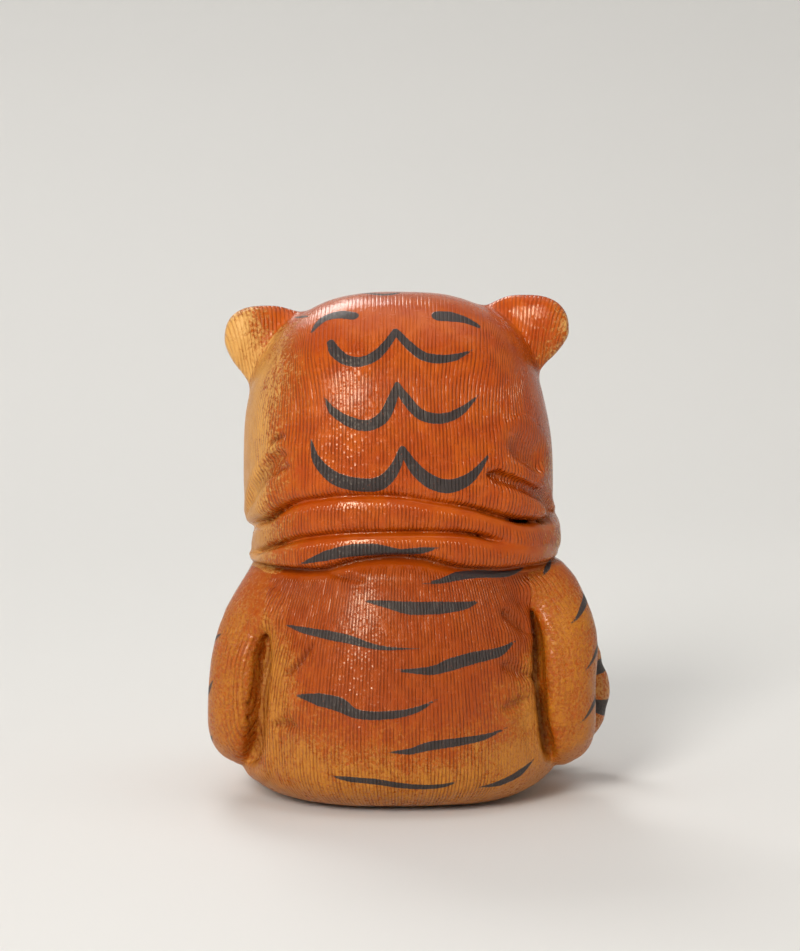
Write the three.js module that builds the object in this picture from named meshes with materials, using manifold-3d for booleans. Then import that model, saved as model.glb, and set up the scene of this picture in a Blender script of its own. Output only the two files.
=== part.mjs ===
// A tea pet: a plump sitting tiger of unglazed stoneware, hollow, built from luted clay pieces.
// Millimetres, +Z up. The tiger faces +Y and turns its back to -Y. The origin is the middle of
// its base at table height. Left and right are as seen from behind, so right is +X.
import * as THREE from 'three';
import { mergeVertices, toCreasedNormals } from 'three/addons/utils/BufferGeometryUtils.js';
import Module from 'manifold-3d';

const wasm = await Module();
wasm.setup();

// Clay
const luteGap = 0.3; // the slip joint between two luted pieces
const torsoWall = 3.6;
const headWall = 3.4;

// Torso: a superegg cut flat at the foot and at the neck
const torsoHalfWidth = 25.4;
const torsoHalfDepth = 23.4;
const neckHeight = 40;
const bellyHeight = 8;
const torsoSink = 9.6;
const crownOverNeck = 11; // how far the uncut superegg would go on above the neck
const torsoLeanBack = 3.9; // how far the back leans out at that height

// Foot ring and the floor let into it
const footRingWidth = 3.4;
const slabThickness = 3.2;
const ventRadius = 3;
const ventForward = 7.5;

// Collar of the torso, which the head's socket drops over
const collarHalfWidth = 14.6;
const collarHalfDepth = 11;
const collarBack = 3;
const collarWall = 2.4;
const collarRise = 3.6;

// Head: a superegg nearly as wide as the torso, which overhangs the neck at the back
const headNarrower = 1;
const headShallower = 2.6;
const headBack = 1.2;
const headAboveNeck = 12.4;
const headRise = 26.8;
const headSink = 24;
const neckCoreInset = 5.2;

// Rolls of the nape: heights of the three creases about the neck, at the back and at the side
const shoulderCreaseBack = -0.7;
const shoulderCreaseSide = -2.4;
const middleCreaseBack = 3.3;
const middleCreaseSide = -0.6;
const napeCreaseBack = 8.7;
const napeCreaseSide = 3.9;
const rollThickness = 7.4;
const rollInset = 0.3;
const rollShift = 0.8; // both rolls lie a little to the right

// Ears: pinched discs on the crown's shoulders, a little uneven as hand work is
const leftEarHalfWidth = 6.6;
const leftEarRise = 5.6;
const leftEarDrop = 7.5;
const rightEarHalfWidth = 7.1;
const rightEarRise = 6.2;
const rightEarDrop = 6.9;
const earThickness = 5.6;
const earStandoff = 1.1;
const earRim = 2.4;
const earCupDepth = 3.6;

// Arms: hanging from the shoulder, elbow low, forearm forward with the paw on the belly.
// The insets say how far the arm's middle lies inside the torso's widest outline.
const leftArmInset = 1.5;
const leftShoulderInset = 6.8;
const rightArmInset = 0.4;
const rightShoulderInset = 2.6;
const shoulderRadius = 6;
const upperArmRadius = 5.7;
const forearmRadius = 4.7;
const pawRadius = 5.3;
const upperArmBehind = 10;
const shoulderLead = 3.4; // the shoulder lies this far ahead of the upper arm
const upperArmSwell = 1.2;
const elbowLead = 2.2;
const elbowHeight = 11.2;
const elbowRise = 1.8;
const forearmLead = 13.6;
const wristInset = 4;
const wristBehindBelly = 9.8;
const wristClear = 2;
const pawInset = 11;
const pawSeat = 5.2; // the paw's middle lies this far inside the belly's widest outline
const pawHeight = 23;

// Legs: short, stretched forward, the sole upright
const legInset = 8.8;
const thighRadius = 8;
const shinRadius = 7.2;
const hipBehindBelly = 19.4;
const kneeBehindBelly = 9.4;
const kneeSpread = 0.8;
const soleForward = 6.4;
const footHalfWidth = 7.6;
const footHalfDepth = 4.6;
const footHeight = 18.4;

// Tail: leaves the right flank low beside the leg and curls up ahead of the elbow
const tailRadius = 3.2;
const tailTipRadius = 2.9;
const tailReach = 6.5;
const tailBehindBelly = 7.9;
const tailAboveTable = 3;
const tailRootInset = 10.9;
const tailRootBehind = 5.5;
const tailRootRise = 0.3;
const tailBendInset = 5.4;
const tailBendBehind = 2.5;
const tailTurnInset = 1.3;
const tailTurnBehind = 0.3;
const tailTurnRise = 2.6;
const tailMiddleRise = 0.6;
const tailTipInset = 1.3;
const tailTipHeight = 19.6;

// Face
const muzzleHalfWidth = 6.6;
const muzzleHalfHeight = 5;
const muzzleDepth = 5.4;
const muzzleSpread = 5;
const muzzleParting = 0.4;
const muzzleBelowCentre = 1.4;
const noseHalfWidth = 3.4;
const noseHalfHeight = 2.3;
const noseDepth = 5;
const noseAboveCentre = 4.6;
const chinHalfWidth = 5.4;
const chinHalfHeight = 3;
const chinDepth = 3.6;
const chinBelowMuzzle = 1.35;
const eyeHalfWidth = 2.3;
const eyeHalfHeight = 2.65;
const eyeSpread = 9.6;
const eyesAboveCentre = 8.2;

// Turns, in degrees: how far round the nape the rolls reach, and how each ear is set
const rollReach = 124;
const earTurn = 16;
const leftEarClimb = 38.5;
const rightEarClimb = 42;

const degrees = Math.PI / 180;
const power = (value, exponent) => Math.sign(value) * Math.abs(value) ** exponent;

// Closed skin over a stack of rings, each a list of as many points, with a tip at either end.
// The rings turn to the right about the way they are stacked.
function skin(firstTip, rings, lastTip) {
  const sides = rings[0].length;
  const points = [firstTip, ...rings.flat(), lastTip];
  const at = (ring, side) => 1 + ring * sides + (side % sides);
  const faces = [];
  for (let side = 0; side < sides; side++) {
    faces.push(0, at(0, side + 1), at(0, side));
    faces.push(points.length - 1, at(rings.length - 1, side), at(rings.length - 1, side + 1));
    for (let ring = 0; ring < rings.length - 1; ring++) {
      faces.push(at(ring, side), at(ring, side + 1), at(ring + 1, side + 1));
      faces.push(at(ring, side), at(ring + 1, side + 1), at(ring + 1, side));
    }
  }
  return new THREE.BufferGeometry().setFromPoints(points).setIndex(faces);
}

function solidOf(geometry) {
  const bare = geometry.clone();
  bare.deleteAttribute('normal');
  bare.deleteAttribute('uv');
  const merged = mergeVertices(bare, 1e-4);
  const vertProperties = Float32Array.from(merged.attributes.position.array);
  const triVerts = Uint32Array.from(merged.index.array);
  return new wasm.Manifold(new wasm.Mesh({ numProp: 3, vertProperties, triVerts }));
}

function geometryOf(solid) {
  const { vertProperties, triVerts } = solid.getMesh();
  const geometry = new THREE.BufferGeometry();
  geometry.setAttribute('position', new THREE.Float32BufferAttribute(vertProperties, 3));
  geometry.setIndex(Array.from(triVerts));
  return geometry;
}

// A superegg is round in plan by one power, and closes above and below its widest section by
// two more. It may lean back as it rises. `grow` moves its whole skin out.
function eggGeometry(egg, grow = 0, sides = 48, levels = 22) {
  const halfWidth = egg.halfWidth + grow;
  const halfDepth = egg.halfDepth + grow;
  const lean = egg.lean ?? 0; // for each millimetre up
  const ringAt = (level) => {
    const latitude = ((level / levels) * 2 - 1) * 90 * degrees;
    const above = latitude > 0;
    const reach = (above ? egg.rise : egg.sink) + grow;
    const close = 2 / (above ? egg.crown : egg.keel);
    const share = Math.cos(latitude) ** close;
    const height = egg.centre.z + reach * power(Math.sin(latitude), close);
    return Array.from({ length: sides }, (_, side) => {
      const turn = (side / sides) * 360 * degrees;
      return new THREE.Vector3(
        egg.centre.x + halfWidth * share * power(Math.cos(turn), 2 / egg.plan),
        egg.centre.y - lean * height + halfDepth * share * power(Math.sin(turn), 2 / egg.plan),
        height,
      );
    });
  };
  const rings = [];
  for (let level = 1; level < levels; level++) rings.push(ringAt(level));
  const tipAt = (height) => egg.centre.clone().setZ(height).setY(egg.centre.y - lean * height);
  const foot = tipAt(egg.centre.z - egg.sink - grow);
  return skin(foot, rings, tipAt(egg.centre.z + egg.rise + grow));
}

const eggSolid = (egg, grow, sides, levels) => solidOf(eggGeometry(egg, grow, sides, levels));

// Share of an egg's widest section that is left at a height
function shareAt(egg, height) {
  const above = height > egg.centre.z;
  const reach = above ? egg.rise : egg.sink;
  const close = above ? egg.crown : egg.keel;
  const climb = Math.min(1, Math.abs(height - egg.centre.z) / reach);
  return (1 - climb ** close) ** (1 / close);
}

// The place on an egg's front, over the point x at a height
function frontOf(egg, x, height) {
  const share = shareAt(egg, height);
  const across = Math.min(1, Math.abs(x - egg.centre.x) / (egg.halfWidth * share));
  return egg.centre.y + egg.halfDepth * share * (1 - across ** egg.plan) ** (1 / egg.plan);
}

// Upright plug with an egg-like plan, for the collar, its socket, the foot ring and the floor
function plugSolid({ halfWidth, halfDepth, plan, y = 0, from, to }, sides = 40) {
  const outline = Array.from({ length: sides }, (_, side) => {
    const turn = (side / sides) * 360 * degrees;
    return new THREE.Vector2(
      halfWidth * power(Math.cos(turn), 2 / plan),
      halfDepth * power(Math.sin(turn), 2 / plan),
    );
  });
  const shape = new THREE.Shape(outline);
  const geometry = new THREE.ExtrudeGeometry(shape, { depth: to - from, bevelEnabled: false });
  return solidOf(geometry.translate(0, y, from));
}

// Everything above or below a plane that leans in Y: z = height + slope * (y - start)
function leaningBlock(height, slope, start, up) {
  const size = 200;
  const block = new THREE.BoxGeometry(size, size, size);
  block.translate(0, 0, up ? size / 2 : -size / 2);
  block.applyMatrix4(new THREE.Matrix4().makeShear(0, 0, 0, slope, 0, 0));
  return solidOf(block.translate(0, start, height));
}

// Round limb along a curve through `knots`, each a place and the radius there, with round ends
function limbSolid(knots, across, grow = 0, steps = 14, sides = 14) {
  const path = new THREE.CatmullRomCurve3(knots.map((knot) => new THREE.Vector3(...knot.at)));
  const swell = new THREE.SplineCurve(knots.map((knot, i) => new THREE.Vector2(i, knot.radius)));
  const capRings = 3;
  const rings = [];
  const ring = (t, lift, share) => {
    const ahead = path.getTangent(t);
    const side = new THREE.Vector3().crossVectors(across, ahead).normalize();
    const rise = new THREE.Vector3().crossVectors(ahead, side);
    const radius = swell.getPoint(t).y + grow;
    const centre = path.getPoint(t).addScaledVector(ahead, lift * radius);
    return Array.from({ length: sides }, (_, i) => {
      const turn = (i / sides) * 360 * degrees;
      return centre
        .clone()
        .addScaledVector(side, Math.cos(turn) * radius * share)
        .addScaledVector(rise, Math.sin(turn) * radius * share);
    });
  };
  for (let i = 1; i <= capRings; i++) {
    const turn = (i / (capRings + 1)) * 90 * degrees;
    rings.push(ring(0, -Math.cos(turn), Math.sin(turn)));
  }
  for (let i = 0; i <= steps; i++) rings.push(ring(i / steps, 0, 1));
  for (let i = capRings; i >= 1; i--) {
    const turn = (i / (capRings + 1)) * 90 * degrees;
    rings.push(ring(1, Math.cos(turn), Math.sin(turn)));
  }
  const tip = (t, way) =>
    path.getPoint(t).addScaledVector(path.getTangent(t), way * (swell.getPoint(t).y + grow));
  return solidOf(skin(tip(0, -1), rings, tip(1, 1)));
}

// The pieces, each as its outer form. A form can grow by the lute gap, to seat its neighbours.
const torsoRise = neckHeight - bellyHeight + crownOverNeck;
const torsoEgg = {
  centre: new THREE.Vector3(0, 0, bellyHeight),
  halfWidth: torsoHalfWidth,
  halfDepth: torsoHalfDepth,
  rise: torsoRise,
  sink: torsoSink,
  plan: 2.3,
  crown: 2.05,
  keel: 2.6,
  lean: torsoLeanBack / torsoRise,
};
const headHalfWidth = torsoHalfWidth - headNarrower;
const headHalfDepth = torsoHalfDepth - headShallower;
const headEgg = {
  centre: new THREE.Vector3(0, -headBack, neckHeight + headAboveNeck),
  halfWidth: headHalfWidth,
  halfDepth: headHalfDepth,
  rise: headRise,
  sink: headSink,
  plan: 2.6,
  crown: 2.5,
  keel: 3,
};
const thinner = (egg, wall) => ({
  ...egg,
  halfWidth: egg.halfWidth - wall,
  halfDepth: egg.halfDepth - wall,
  rise: egg.rise - wall,
  sink: egg.sink - wall,
});
const between = (solid, low, high) =>
  solid.intersect(leaningBlock(low, 0, 0, true)).intersect(leaningBlock(high, 0, 0, false));

const collarPlan = {
  halfWidth: collarHalfWidth,
  halfDepth: collarHalfDepth,
  plan: torsoEgg.plan,
  y: -collarBack,
  from: neckHeight - torsoWall,
  to: neckHeight + collarRise,
};
const footShare = shareAt(torsoEgg, 0);
const floorPlan = {
  halfWidth: torsoHalfWidth * footShare - footRingWidth,
  halfDepth: torsoHalfDepth * footShare - footRingWidth,
  plan: torsoEgg.plan,
};

function torsoForm(grow) {
  const body = between(eggSolid(torsoEgg, grow), grow ? -grow : 0, neckHeight + grow);
  const collar = {
    ...collarPlan,
    halfWidth: collarHalfWidth + grow,
    halfDepth: collarHalfDepth + grow,
    to: collarPlan.to + grow,
  };
  return body.add(plugSolid(collar));
}

// The hollow stops a wall short of the neck, so the collar stands on a closed shoulder
function torsoSolid() {
  const chamber = eggSolid(thinner(torsoEgg, torsoWall), 0, 32, 14);
  const ceiling = leaningBlock(neckHeight - torsoWall, 0, 0, false);
  const bore = {
    ...collarPlan,
    halfWidth: collarHalfWidth - collarWall,
    halfDepth: collarHalfDepth - collarWall,
    from: neckHeight - torsoWall * 2,
    to: collarPlan.to + torsoWall,
  };
  const opening = { ...floorPlan, from: -torsoWall, to: slabThickness + luteGap };
  return torsoForm(0)
    .subtract(chamber.intersect(ceiling))
    .subtract(plugSolid(bore, 32))
    .subtract(plugSolid(opening, 32));
}

function slabSolid() {
  const slab = {
    ...floorPlan,
    halfWidth: floorPlan.halfWidth - luteGap,
    halfDepth: floorPlan.halfDepth - luteGap,
    from: 0,
    to: slabThickness,
  };
  const drill = new THREE.CylinderGeometry(ventRadius, ventRadius, slabThickness * 3, 24);
  drill.rotateX(90 * degrees).translate(0, ventForward, 0);
  return plugSolid(slab, 32).subtract(solidOf(drill));
}

// Each crease of the nape is a plane that drops from the back of the head to its sides
const napeBackY = headEgg.centre.y - headHalfDepth;
const napeSideY = headEgg.centre.y - headHalfDepth * 0.18;
function creasePlane(back, side) {
  const slope = (side - back) / (napeSideY - napeBackY);
  return { height: neckHeight + back, slope, start: napeBackY };
}
const planeAt = (plane, y) => plane.height + plane.slope * (y - plane.start);
const abovePlane = (plane, lift) =>
  leaningBlock(plane.height + lift, plane.slope, plane.start, true);

const shoulderPlane = creasePlane(shoulderCreaseBack, shoulderCreaseSide);
const middlePlane = creasePlane(middleCreaseBack, middleCreaseSide);
const napePlane = creasePlane(napeCreaseBack, napeCreaseSide);
const neckCore = {
  halfWidth: headHalfWidth - neckCoreInset,
  halfDepth: headHalfDepth - neckCoreInset,
  plan: headEgg.plan,
  y: headEgg.centre.y,
  from: neckHeight,
  to: neckHeight + headAboveNeck,
};

function headForm(grow) {
  const core = {
    ...neckCore,
    halfWidth: neckCore.halfWidth + grow,
    halfDepth: neckCore.halfDepth + grow,
  };
  return eggSolid(headEgg, grow).intersect(abovePlane(napePlane, -grow)).add(plugSolid(core));
}

function headHollow() {
  const socket = {
    ...collarPlan,
    halfWidth: collarHalfWidth + luteGap,
    halfDepth: collarHalfDepth + luteGap,
    from: neckHeight - luteGap,
    to: neckHeight + headAboveNeck,
  };
  return eggSolid(thinner(headEgg, headWall), 0, 32, 16)
    .intersect(abovePlane(napePlane, headWall))
    .intersect(leaningBlock(neckHeight + collarRise, 0, 0, true))
    .add(plugSolid(socket, 32));
}

// A roll lies round the nape between two creases and tapers away under the cheeks
function rollForm(lowPlane, highPlane, grow) {
  const steps = 36;
  const sides = 12;
  const ringAt = (turn) => {
    const share = 1 - Math.abs(turn / (rollReach * degrees)) ** 4;
    const taper = Math.sqrt(Math.max(share, 0));
    const plan = new THREE.Vector2(
      (headHalfWidth - rollInset) * power(Math.sin(turn), 2 / headEgg.plan),
      -(headHalfDepth - rollInset) * power(Math.cos(turn), 2 / headEgg.plan),
    );
    const outward = plan.clone().normalize();
    const y = headEgg.centre.y + plan.y;
    const low = planeAt(lowPlane, y);
    const high = planeAt(highPlane, y);
    const halfHeight = ((high - low) / 2 - luteGap / 2) * taper + grow;
    const halfThickness = (rollThickness / 2) * taper + grow;
    const seat = plan.clone().addScaledVector(outward, -rollThickness / 2);
    const centre = new THREE.Vector3(seat.x + rollShift, headEgg.centre.y + seat.y, (low + high) / 2);
    return Array.from({ length: sides }, (_, i) => {
      const around = (i / sides) * 360 * degrees;
      const out = halfThickness * power(Math.cos(around), 0.8);
      const down = halfHeight * power(Math.sin(around), 0.8);
      return centre.clone().add(new THREE.Vector3(outward.x * out, outward.y * out, -down));
    });
  };
  const rings = [];
  for (let i = 1; i < steps; i++) rings.push(ringAt(((i / steps) * 2 - 1) * rollReach * degrees));
  const tipOf = (ring) =>
    ring.reduce((sum, point) => sum.add(point), new THREE.Vector3()).divideScalar(ring.length);
  return solidOf(skin(tipOf(ringAt(-rollReach * degrees)), rings, tipOf(ringAt(rollReach * degrees))));
}

// An ear stands on the crown's shoulder: broad above, drawn to a point where it runs down the
// cheek, with a cup pressed into its front
function earForm(side, halfWidth, rise, drop, climb, grow) {
  const disc = {
    centre: new THREE.Vector3(),
    halfWidth,
    halfDepth: earThickness / 2,
    rise,
    sink: drop,
    plan: 2.4,
    crown: 3,
    keel: 1.5,
  };
  const cup = {
    ...disc,
    centre: new THREE.Vector3(0, earThickness / 2, 0),
    halfWidth: halfWidth - earRim,
    halfDepth: earCupDepth,
    rise: rise - earRim,
    sink: drop - earRim,
  };
  const across = Math.cos(climb * degrees);
  const upward = Math.sin(climb * degrees);
  const seat = new THREE.Vector3(
    side * (headHalfWidth * across ** (2 / headEgg.crown) + earStandoff * across),
    headEgg.centre.y,
    headEgg.centre.z + headRise * upward ** (2 / headEgg.crown) + earStandoff * upward,
  );
  const pose = new THREE.Matrix4()
    .makeTranslation(seat)
    .multiply(new THREE.Matrix4().makeRotationZ(-side * earTurn * degrees));
  const outside = solidOf(eggGeometry(disc, grow, 24, 12).applyMatrix4(pose));
  const hollow = solidOf(eggGeometry(cup, -grow, 18, 10).applyMatrix4(pose));
  return outside.subtract(hollow);
}

const sideways = new THREE.Vector3(1, 0, 0);
const forwards = new THREE.Vector3(0, 1, 0);

function armForm(side, inset, shoulderInset, grow) {
  const out = torsoHalfWidth - inset;
  const shoulderOut = torsoHalfWidth - shoulderInset;
  const shoulderHeight = neckHeight + shoulderCreaseSide - shoulderRadius;
  const drop = shoulderHeight - elbowHeight;
  const bulge = (out + shoulderOut) / 2 + upperArmSwell;
  const wristHeight = (elbowHeight + pawHeight) / 2 + wristClear;
  const place = (x, y, z) => [side * x, y, z];
  const knots = [
    { at: place(shoulderOut, shoulderLead - upperArmBehind, shoulderHeight), radius: shoulderRadius },
    {
      at: place(bulge, shoulderLead * 0.3 - upperArmBehind, shoulderHeight - drop * 0.3),
      radius: (shoulderRadius + upperArmRadius) / 2,
    },
    { at: place(out, -upperArmBehind, shoulderHeight - drop * 0.66), radius: upperArmRadius },
    { at: place(out, elbowLead - upperArmBehind, elbowHeight), radius: upperArmRadius },
    {
      at: place(out, forearmLead - upperArmBehind, elbowHeight + elbowRise),
      radius: forearmRadius,
    },
    {
      at: place(out - wristInset, torsoHalfDepth - wristBehindBelly, wristHeight),
      radius: forearmRadius,
    },
    { at: place(out - pawInset, torsoHalfDepth - pawSeat, pawHeight), radius: pawRadius },
  ];
  return limbSolid(knots, sideways, grow, 20);
}

function legForm(side, grow) {
  const spread = side * (torsoHalfWidth - legInset);
  const knee = spread + side * kneeSpread;
  const hipForward = torsoHalfDepth - hipBehindBelly;
  const kneeForward = torsoHalfDepth - kneeBehindBelly;
  const sole = torsoHalfDepth + soleForward - footHalfDepth;
  const knots = [
    { at: [spread, hipForward, thighRadius + luteGap], radius: thighRadius },
    { at: [knee, kneeForward, thighRadius + luteGap], radius: thighRadius },
    {
      at: [(knee + spread) / 2, sole - footHalfDepth / 2, shinRadius + luteGap],
      radius: shinRadius,
    },
  ];
  const foot = {
    centre: new THREE.Vector3(spread, sole, footHeight / 2 + luteGap),
    halfWidth: footHalfWidth,
    halfDepth: footHalfDepth,
    rise: footHeight / 2,
    sink: footHeight / 2,
    plan: 2.3,
    crown: 2.3,
    keel: 2.3,
  };
  return limbSolid(knots, sideways, grow, 8, 14).add(eggSolid(foot, grow, 16, 8));
}

function tailForm(grow) {
  const reach = torsoHalfWidth + tailReach;
  const low = tailAboveTable + tailRadius;
  const middleHeight = (low + tailTipHeight) / 2 + tailMiddleRise;
  const forward = torsoHalfDepth - tailBehindBelly;
  const place = (inset, behind, z) => [reach - inset, forward - behind, z];
  const knots = [
    { at: place(tailRootInset, tailRootBehind, low + tailRootRise), radius: tailRadius },
    { at: place(tailBendInset, tailBendBehind, low), radius: tailRadius },
    { at: place(tailTurnInset, tailTurnBehind, low + tailTurnRise), radius: tailRadius },
    { at: place(0, 0, middleHeight), radius: tailRadius },
    { at: place(tailTipInset, 0, tailTipHeight), radius: tailTipRadius },
  ];
  return limbSolid(knots, forwards, grow, 16, 12);
}

// A pad pressed on the face, its centre level with the head's own front
function facePad(x, height, halfWidth, halfHeight, depth, grow) {
  const pad = {
    centre: new THREE.Vector3(x, frontOf(headEgg, x, height), height),
    halfWidth,
    halfDepth: depth,
    rise: halfHeight,
    sink: halfHeight,
    plan: 2.2,
    crown: 2.2,
    keel: 2.2,
  };
  return eggSolid(pad, grow, 16, 8);
}

const muzzleHeight = headEgg.centre.z - muzzleBelowCentre;
const noseHeight = headEgg.centre.z + noseAboveCentre;
const eyeHeight = headEgg.centre.z + eyesAboveCentre;
const chinHeight = muzzleHeight - muzzleHalfHeight - chinBelowMuzzle;

// The two muzzle pads part along the middle of the face
function muzzleForm(side, grow) {
  const size = headHalfWidth * 2;
  const half = new THREE.BoxGeometry(size, size, size);
  half.translate(side * (size / 2 + muzzleParting / 2 - grow), headEgg.centre.y + size / 2, muzzleHeight);
  const x = side * muzzleSpread;
  const pad = facePad(x, muzzleHeight, muzzleHalfWidth, muzzleHalfHeight, muzzleDepth, grow);
  return pad.intersect(solidOf(half));
}

const eyeForm = (side, grow) =>
  facePad(side * eyeSpread, eyeHeight, eyeHalfWidth, eyeHalfHeight, eyeHalfWidth, grow);

const orangeSlip = { color: '#b4501a', roughness: 0.42 };
const ochreClay = { color: '#bf8a3f', roughness: 0.55 };
const darkSlip = { color: '#37343a', roughness: 0.5 };

// In the order of luting: each piece is cut to sit on those before it, a lute gap clear
const pieces = [
  { name: 'torso', form: torsoForm, solid: torsoSolid, finish: orangeSlip },
  { name: 'base_slab', solid: slabSolid, finish: ochreClay },
  { name: 'head', form: headForm, hollow: headHollow, finish: orangeSlip },
  {
    name: 'nape_roll_lower',
    form: (grow) => rollForm(shoulderPlane, middlePlane, grow),
    finish: orangeSlip,
  },
  {
    name: 'nape_roll_upper',
    form: (grow) => rollForm(middlePlane, napePlane, grow),
    finish: orangeSlip,
  },
  {
    name: 'left_ear',
    form: (grow) =>
      earForm(-1, leftEarHalfWidth, leftEarRise, leftEarDrop, leftEarClimb, grow),
    finish: orangeSlip,
  },
  {
    name: 'right_ear',
    form: (grow) =>
      earForm(1, rightEarHalfWidth, rightEarRise, rightEarDrop, rightEarClimb, grow),
    finish: orangeSlip,
  },
  {
    name: 'left_arm',
    form: (grow) => armForm(-1, leftArmInset, leftShoulderInset, grow),
    finish: ochreClay,
  },
  {
    name: 'right_arm',
    form: (grow) => armForm(1, rightArmInset, rightShoulderInset, grow),
    finish: ochreClay,
  },
  { name: 'left_leg', form: (grow) => legForm(-1, grow), finish: ochreClay },
  { name: 'right_leg', form: (grow) => legForm(1, grow), finish: ochreClay },
  { name: 'tail', form: tailForm, finish: orangeSlip },
  {
    name: 'chin',
    form: (grow) => facePad(0, chinHeight, chinHalfWidth, chinHalfHeight, chinDepth, grow),
    finish: ochreClay,
  },
  { name: 'left_muzzle_pad', form: (grow) => muzzleForm(-1, grow), finish: ochreClay },
  { name: 'right_muzzle_pad', form: (grow) => muzzleForm(1, grow), finish: ochreClay },
  {
    name: 'nose',
    form: (grow) => facePad(0, noseHeight, noseHalfWidth, noseHalfHeight, noseDepth, grow),
    finish: darkSlip,
  },
  { name: 'left_eye', form: (grow) => eyeForm(-1, grow), finish: darkSlip },
  { name: 'right_eye', form: (grow) => eyeForm(1, grow), finish: darkSlip },
];

const tiger = new THREE.Group();
const seats = [];
for (const { name, form, solid, hollow, finish } of pieces) {
  let body = solid ? solid() : form(0);
  if (!solid) for (const seat of seats) body = body.subtract(seat);
  if (hollow) body = body.subtract(hollow());
  if (form) seats.push(form(luteGap));

  const geometry = geometryOf(body);
  geometry.computeBoundingBox();
  const middle = geometry.boundingBox.getCenter(new THREE.Vector3());
  geometry.translate(-middle.x, -middle.y, -middle.z);
  const material = new THREE.MeshStandardMaterial({ ...finish, metalness: 0 });
  const mesh = new THREE.Mesh(toCreasedNormals(geometry, 40 * degrees), material);
  mesh.name = name;
  mesh.position.copy(middle);
  tiger.add(mesh);
}

export default tiger;
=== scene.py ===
import math
import time

import bpy
import numpy as np
import openvdb as vdb
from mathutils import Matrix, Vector


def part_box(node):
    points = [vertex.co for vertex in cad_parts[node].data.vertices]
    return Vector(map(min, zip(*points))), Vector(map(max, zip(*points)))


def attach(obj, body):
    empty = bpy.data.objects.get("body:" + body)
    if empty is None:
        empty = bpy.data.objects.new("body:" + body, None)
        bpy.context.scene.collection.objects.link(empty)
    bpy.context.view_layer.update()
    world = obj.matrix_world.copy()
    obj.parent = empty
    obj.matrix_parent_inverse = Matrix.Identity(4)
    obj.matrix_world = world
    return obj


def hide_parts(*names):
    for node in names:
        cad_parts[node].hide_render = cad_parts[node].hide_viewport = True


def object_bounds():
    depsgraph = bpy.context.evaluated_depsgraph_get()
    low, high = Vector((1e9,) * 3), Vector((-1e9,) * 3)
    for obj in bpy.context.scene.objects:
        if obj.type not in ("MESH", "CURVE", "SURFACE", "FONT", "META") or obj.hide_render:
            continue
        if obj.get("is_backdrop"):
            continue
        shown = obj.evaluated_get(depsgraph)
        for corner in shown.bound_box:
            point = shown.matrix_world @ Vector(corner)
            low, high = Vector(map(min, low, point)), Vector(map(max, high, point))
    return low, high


startTime = time.time()
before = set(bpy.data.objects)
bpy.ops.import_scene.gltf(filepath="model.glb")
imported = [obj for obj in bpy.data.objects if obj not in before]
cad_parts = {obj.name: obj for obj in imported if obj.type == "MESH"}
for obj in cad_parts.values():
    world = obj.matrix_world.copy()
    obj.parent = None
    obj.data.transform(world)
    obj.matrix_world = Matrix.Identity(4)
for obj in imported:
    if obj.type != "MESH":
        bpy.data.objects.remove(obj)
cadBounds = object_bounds()


def report(stage):
    print(f"[tea pet] {stage} ({time.time() - startTime:.1f} s)")


# everything is shaped in millimetres and only the finished meshes are in metres
def cadBox(node):
    low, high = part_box(node)
    return np.array(low) * 1000, np.array(high) * 1000


clayLow, clayHigh = (np.array(corner)[:, None] * 1000 for corner in cadBounds)


def easeStep(value, start, end):
    share = np.clip((value - start) / (end - start), 0.0, 1.0)
    return share * share * (3 - 2 * share)


def smoothMin(a, b, reach):
    overlap = np.maximum(reach - np.abs(a - b), 0.0) / reach
    return np.minimum(a, b) - overlap * overlap * reach * 0.25


def smoothMax(a, b, reach):
    return -smoothMin(-a, -b, reach)


# smooth line through a few points, any number of columns, the same count of steps per span
def throughPoints(points, steps=6):
    points = np.asarray(points, float)
    padded = np.vstack([2 * points[0] - points[1], points, 2 * points[-1] - points[-2]])
    rows = []
    for i in range(len(points) - 1):
        before, start, end, after = padded[i : i + 4]
        for t in np.arange(steps) / steps:
            square = (2 * before - 5 * start + 4 * end - after) * t * t
            cube = (3 * start - before - 3 * end + after) * t**3
            rows.append(0.5 * (2 * start + (end - before) * t + square + cube))
    rows.append(points[-1])
    return np.array(rows)


# Signed distances: negative inside the clay. A point set is three rows, x, y and z.
farAway = 9.0
tiny = 1e-9


def allFar(p):
    return np.full(p.shape[1], farAway, np.float32)


def nearOnly(p, low, high, margin, measure):
    inside = np.ones(p.shape[1], bool)
    for axis in range(3):
        inside &= (p[axis] > low[axis] - margin) & (p[axis] < high[axis] + margin)
    result = allFar(p)
    if inside.any():
        result[inside] = measure(p[:, inside])
    return result


# where along a span each point's nearest spot lies, from 0 to 1, and how far off it is
def offSpan(p, start, end):
    along = end - start
    offset = p - start[:, None]
    share = np.clip((along @ offset) / max(along @ along, 1e-6), 0.0, 1.0)
    gap = offset - along[:, None] * share
    return share, np.sqrt((gap * gap).sum(0))


# distance to an oval of a given power, from its half widths a and b
def ovalField(x, y, a, b, power):
    x, y = np.abs(x) / a, np.abs(y) / b
    size = (x**power + y**power + tiny) ** (1 / power)
    slopeX = (x / size) ** (power - 1) / a
    slopeY = (y / size) ** (power - 1) / b
    return (size - 1) / np.sqrt(slopeX**2 + slopeY**2)


# how far out an oval's rim lies at each turn
def rimOf(turn, a, b, power):
    across, along = np.abs(np.sin(turn)) / a, np.abs(np.cos(turn)) / b
    return (across**power + along**power) ** (-1 / power)


def eggOf(centre, half, rise, sink, plan, crown, keel):
    form = {"centre": centre, "half": half, "rise": rise, "sink": sink}
    return {**form, "plan": plan, "crown": crown, "keel": keel}


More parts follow.
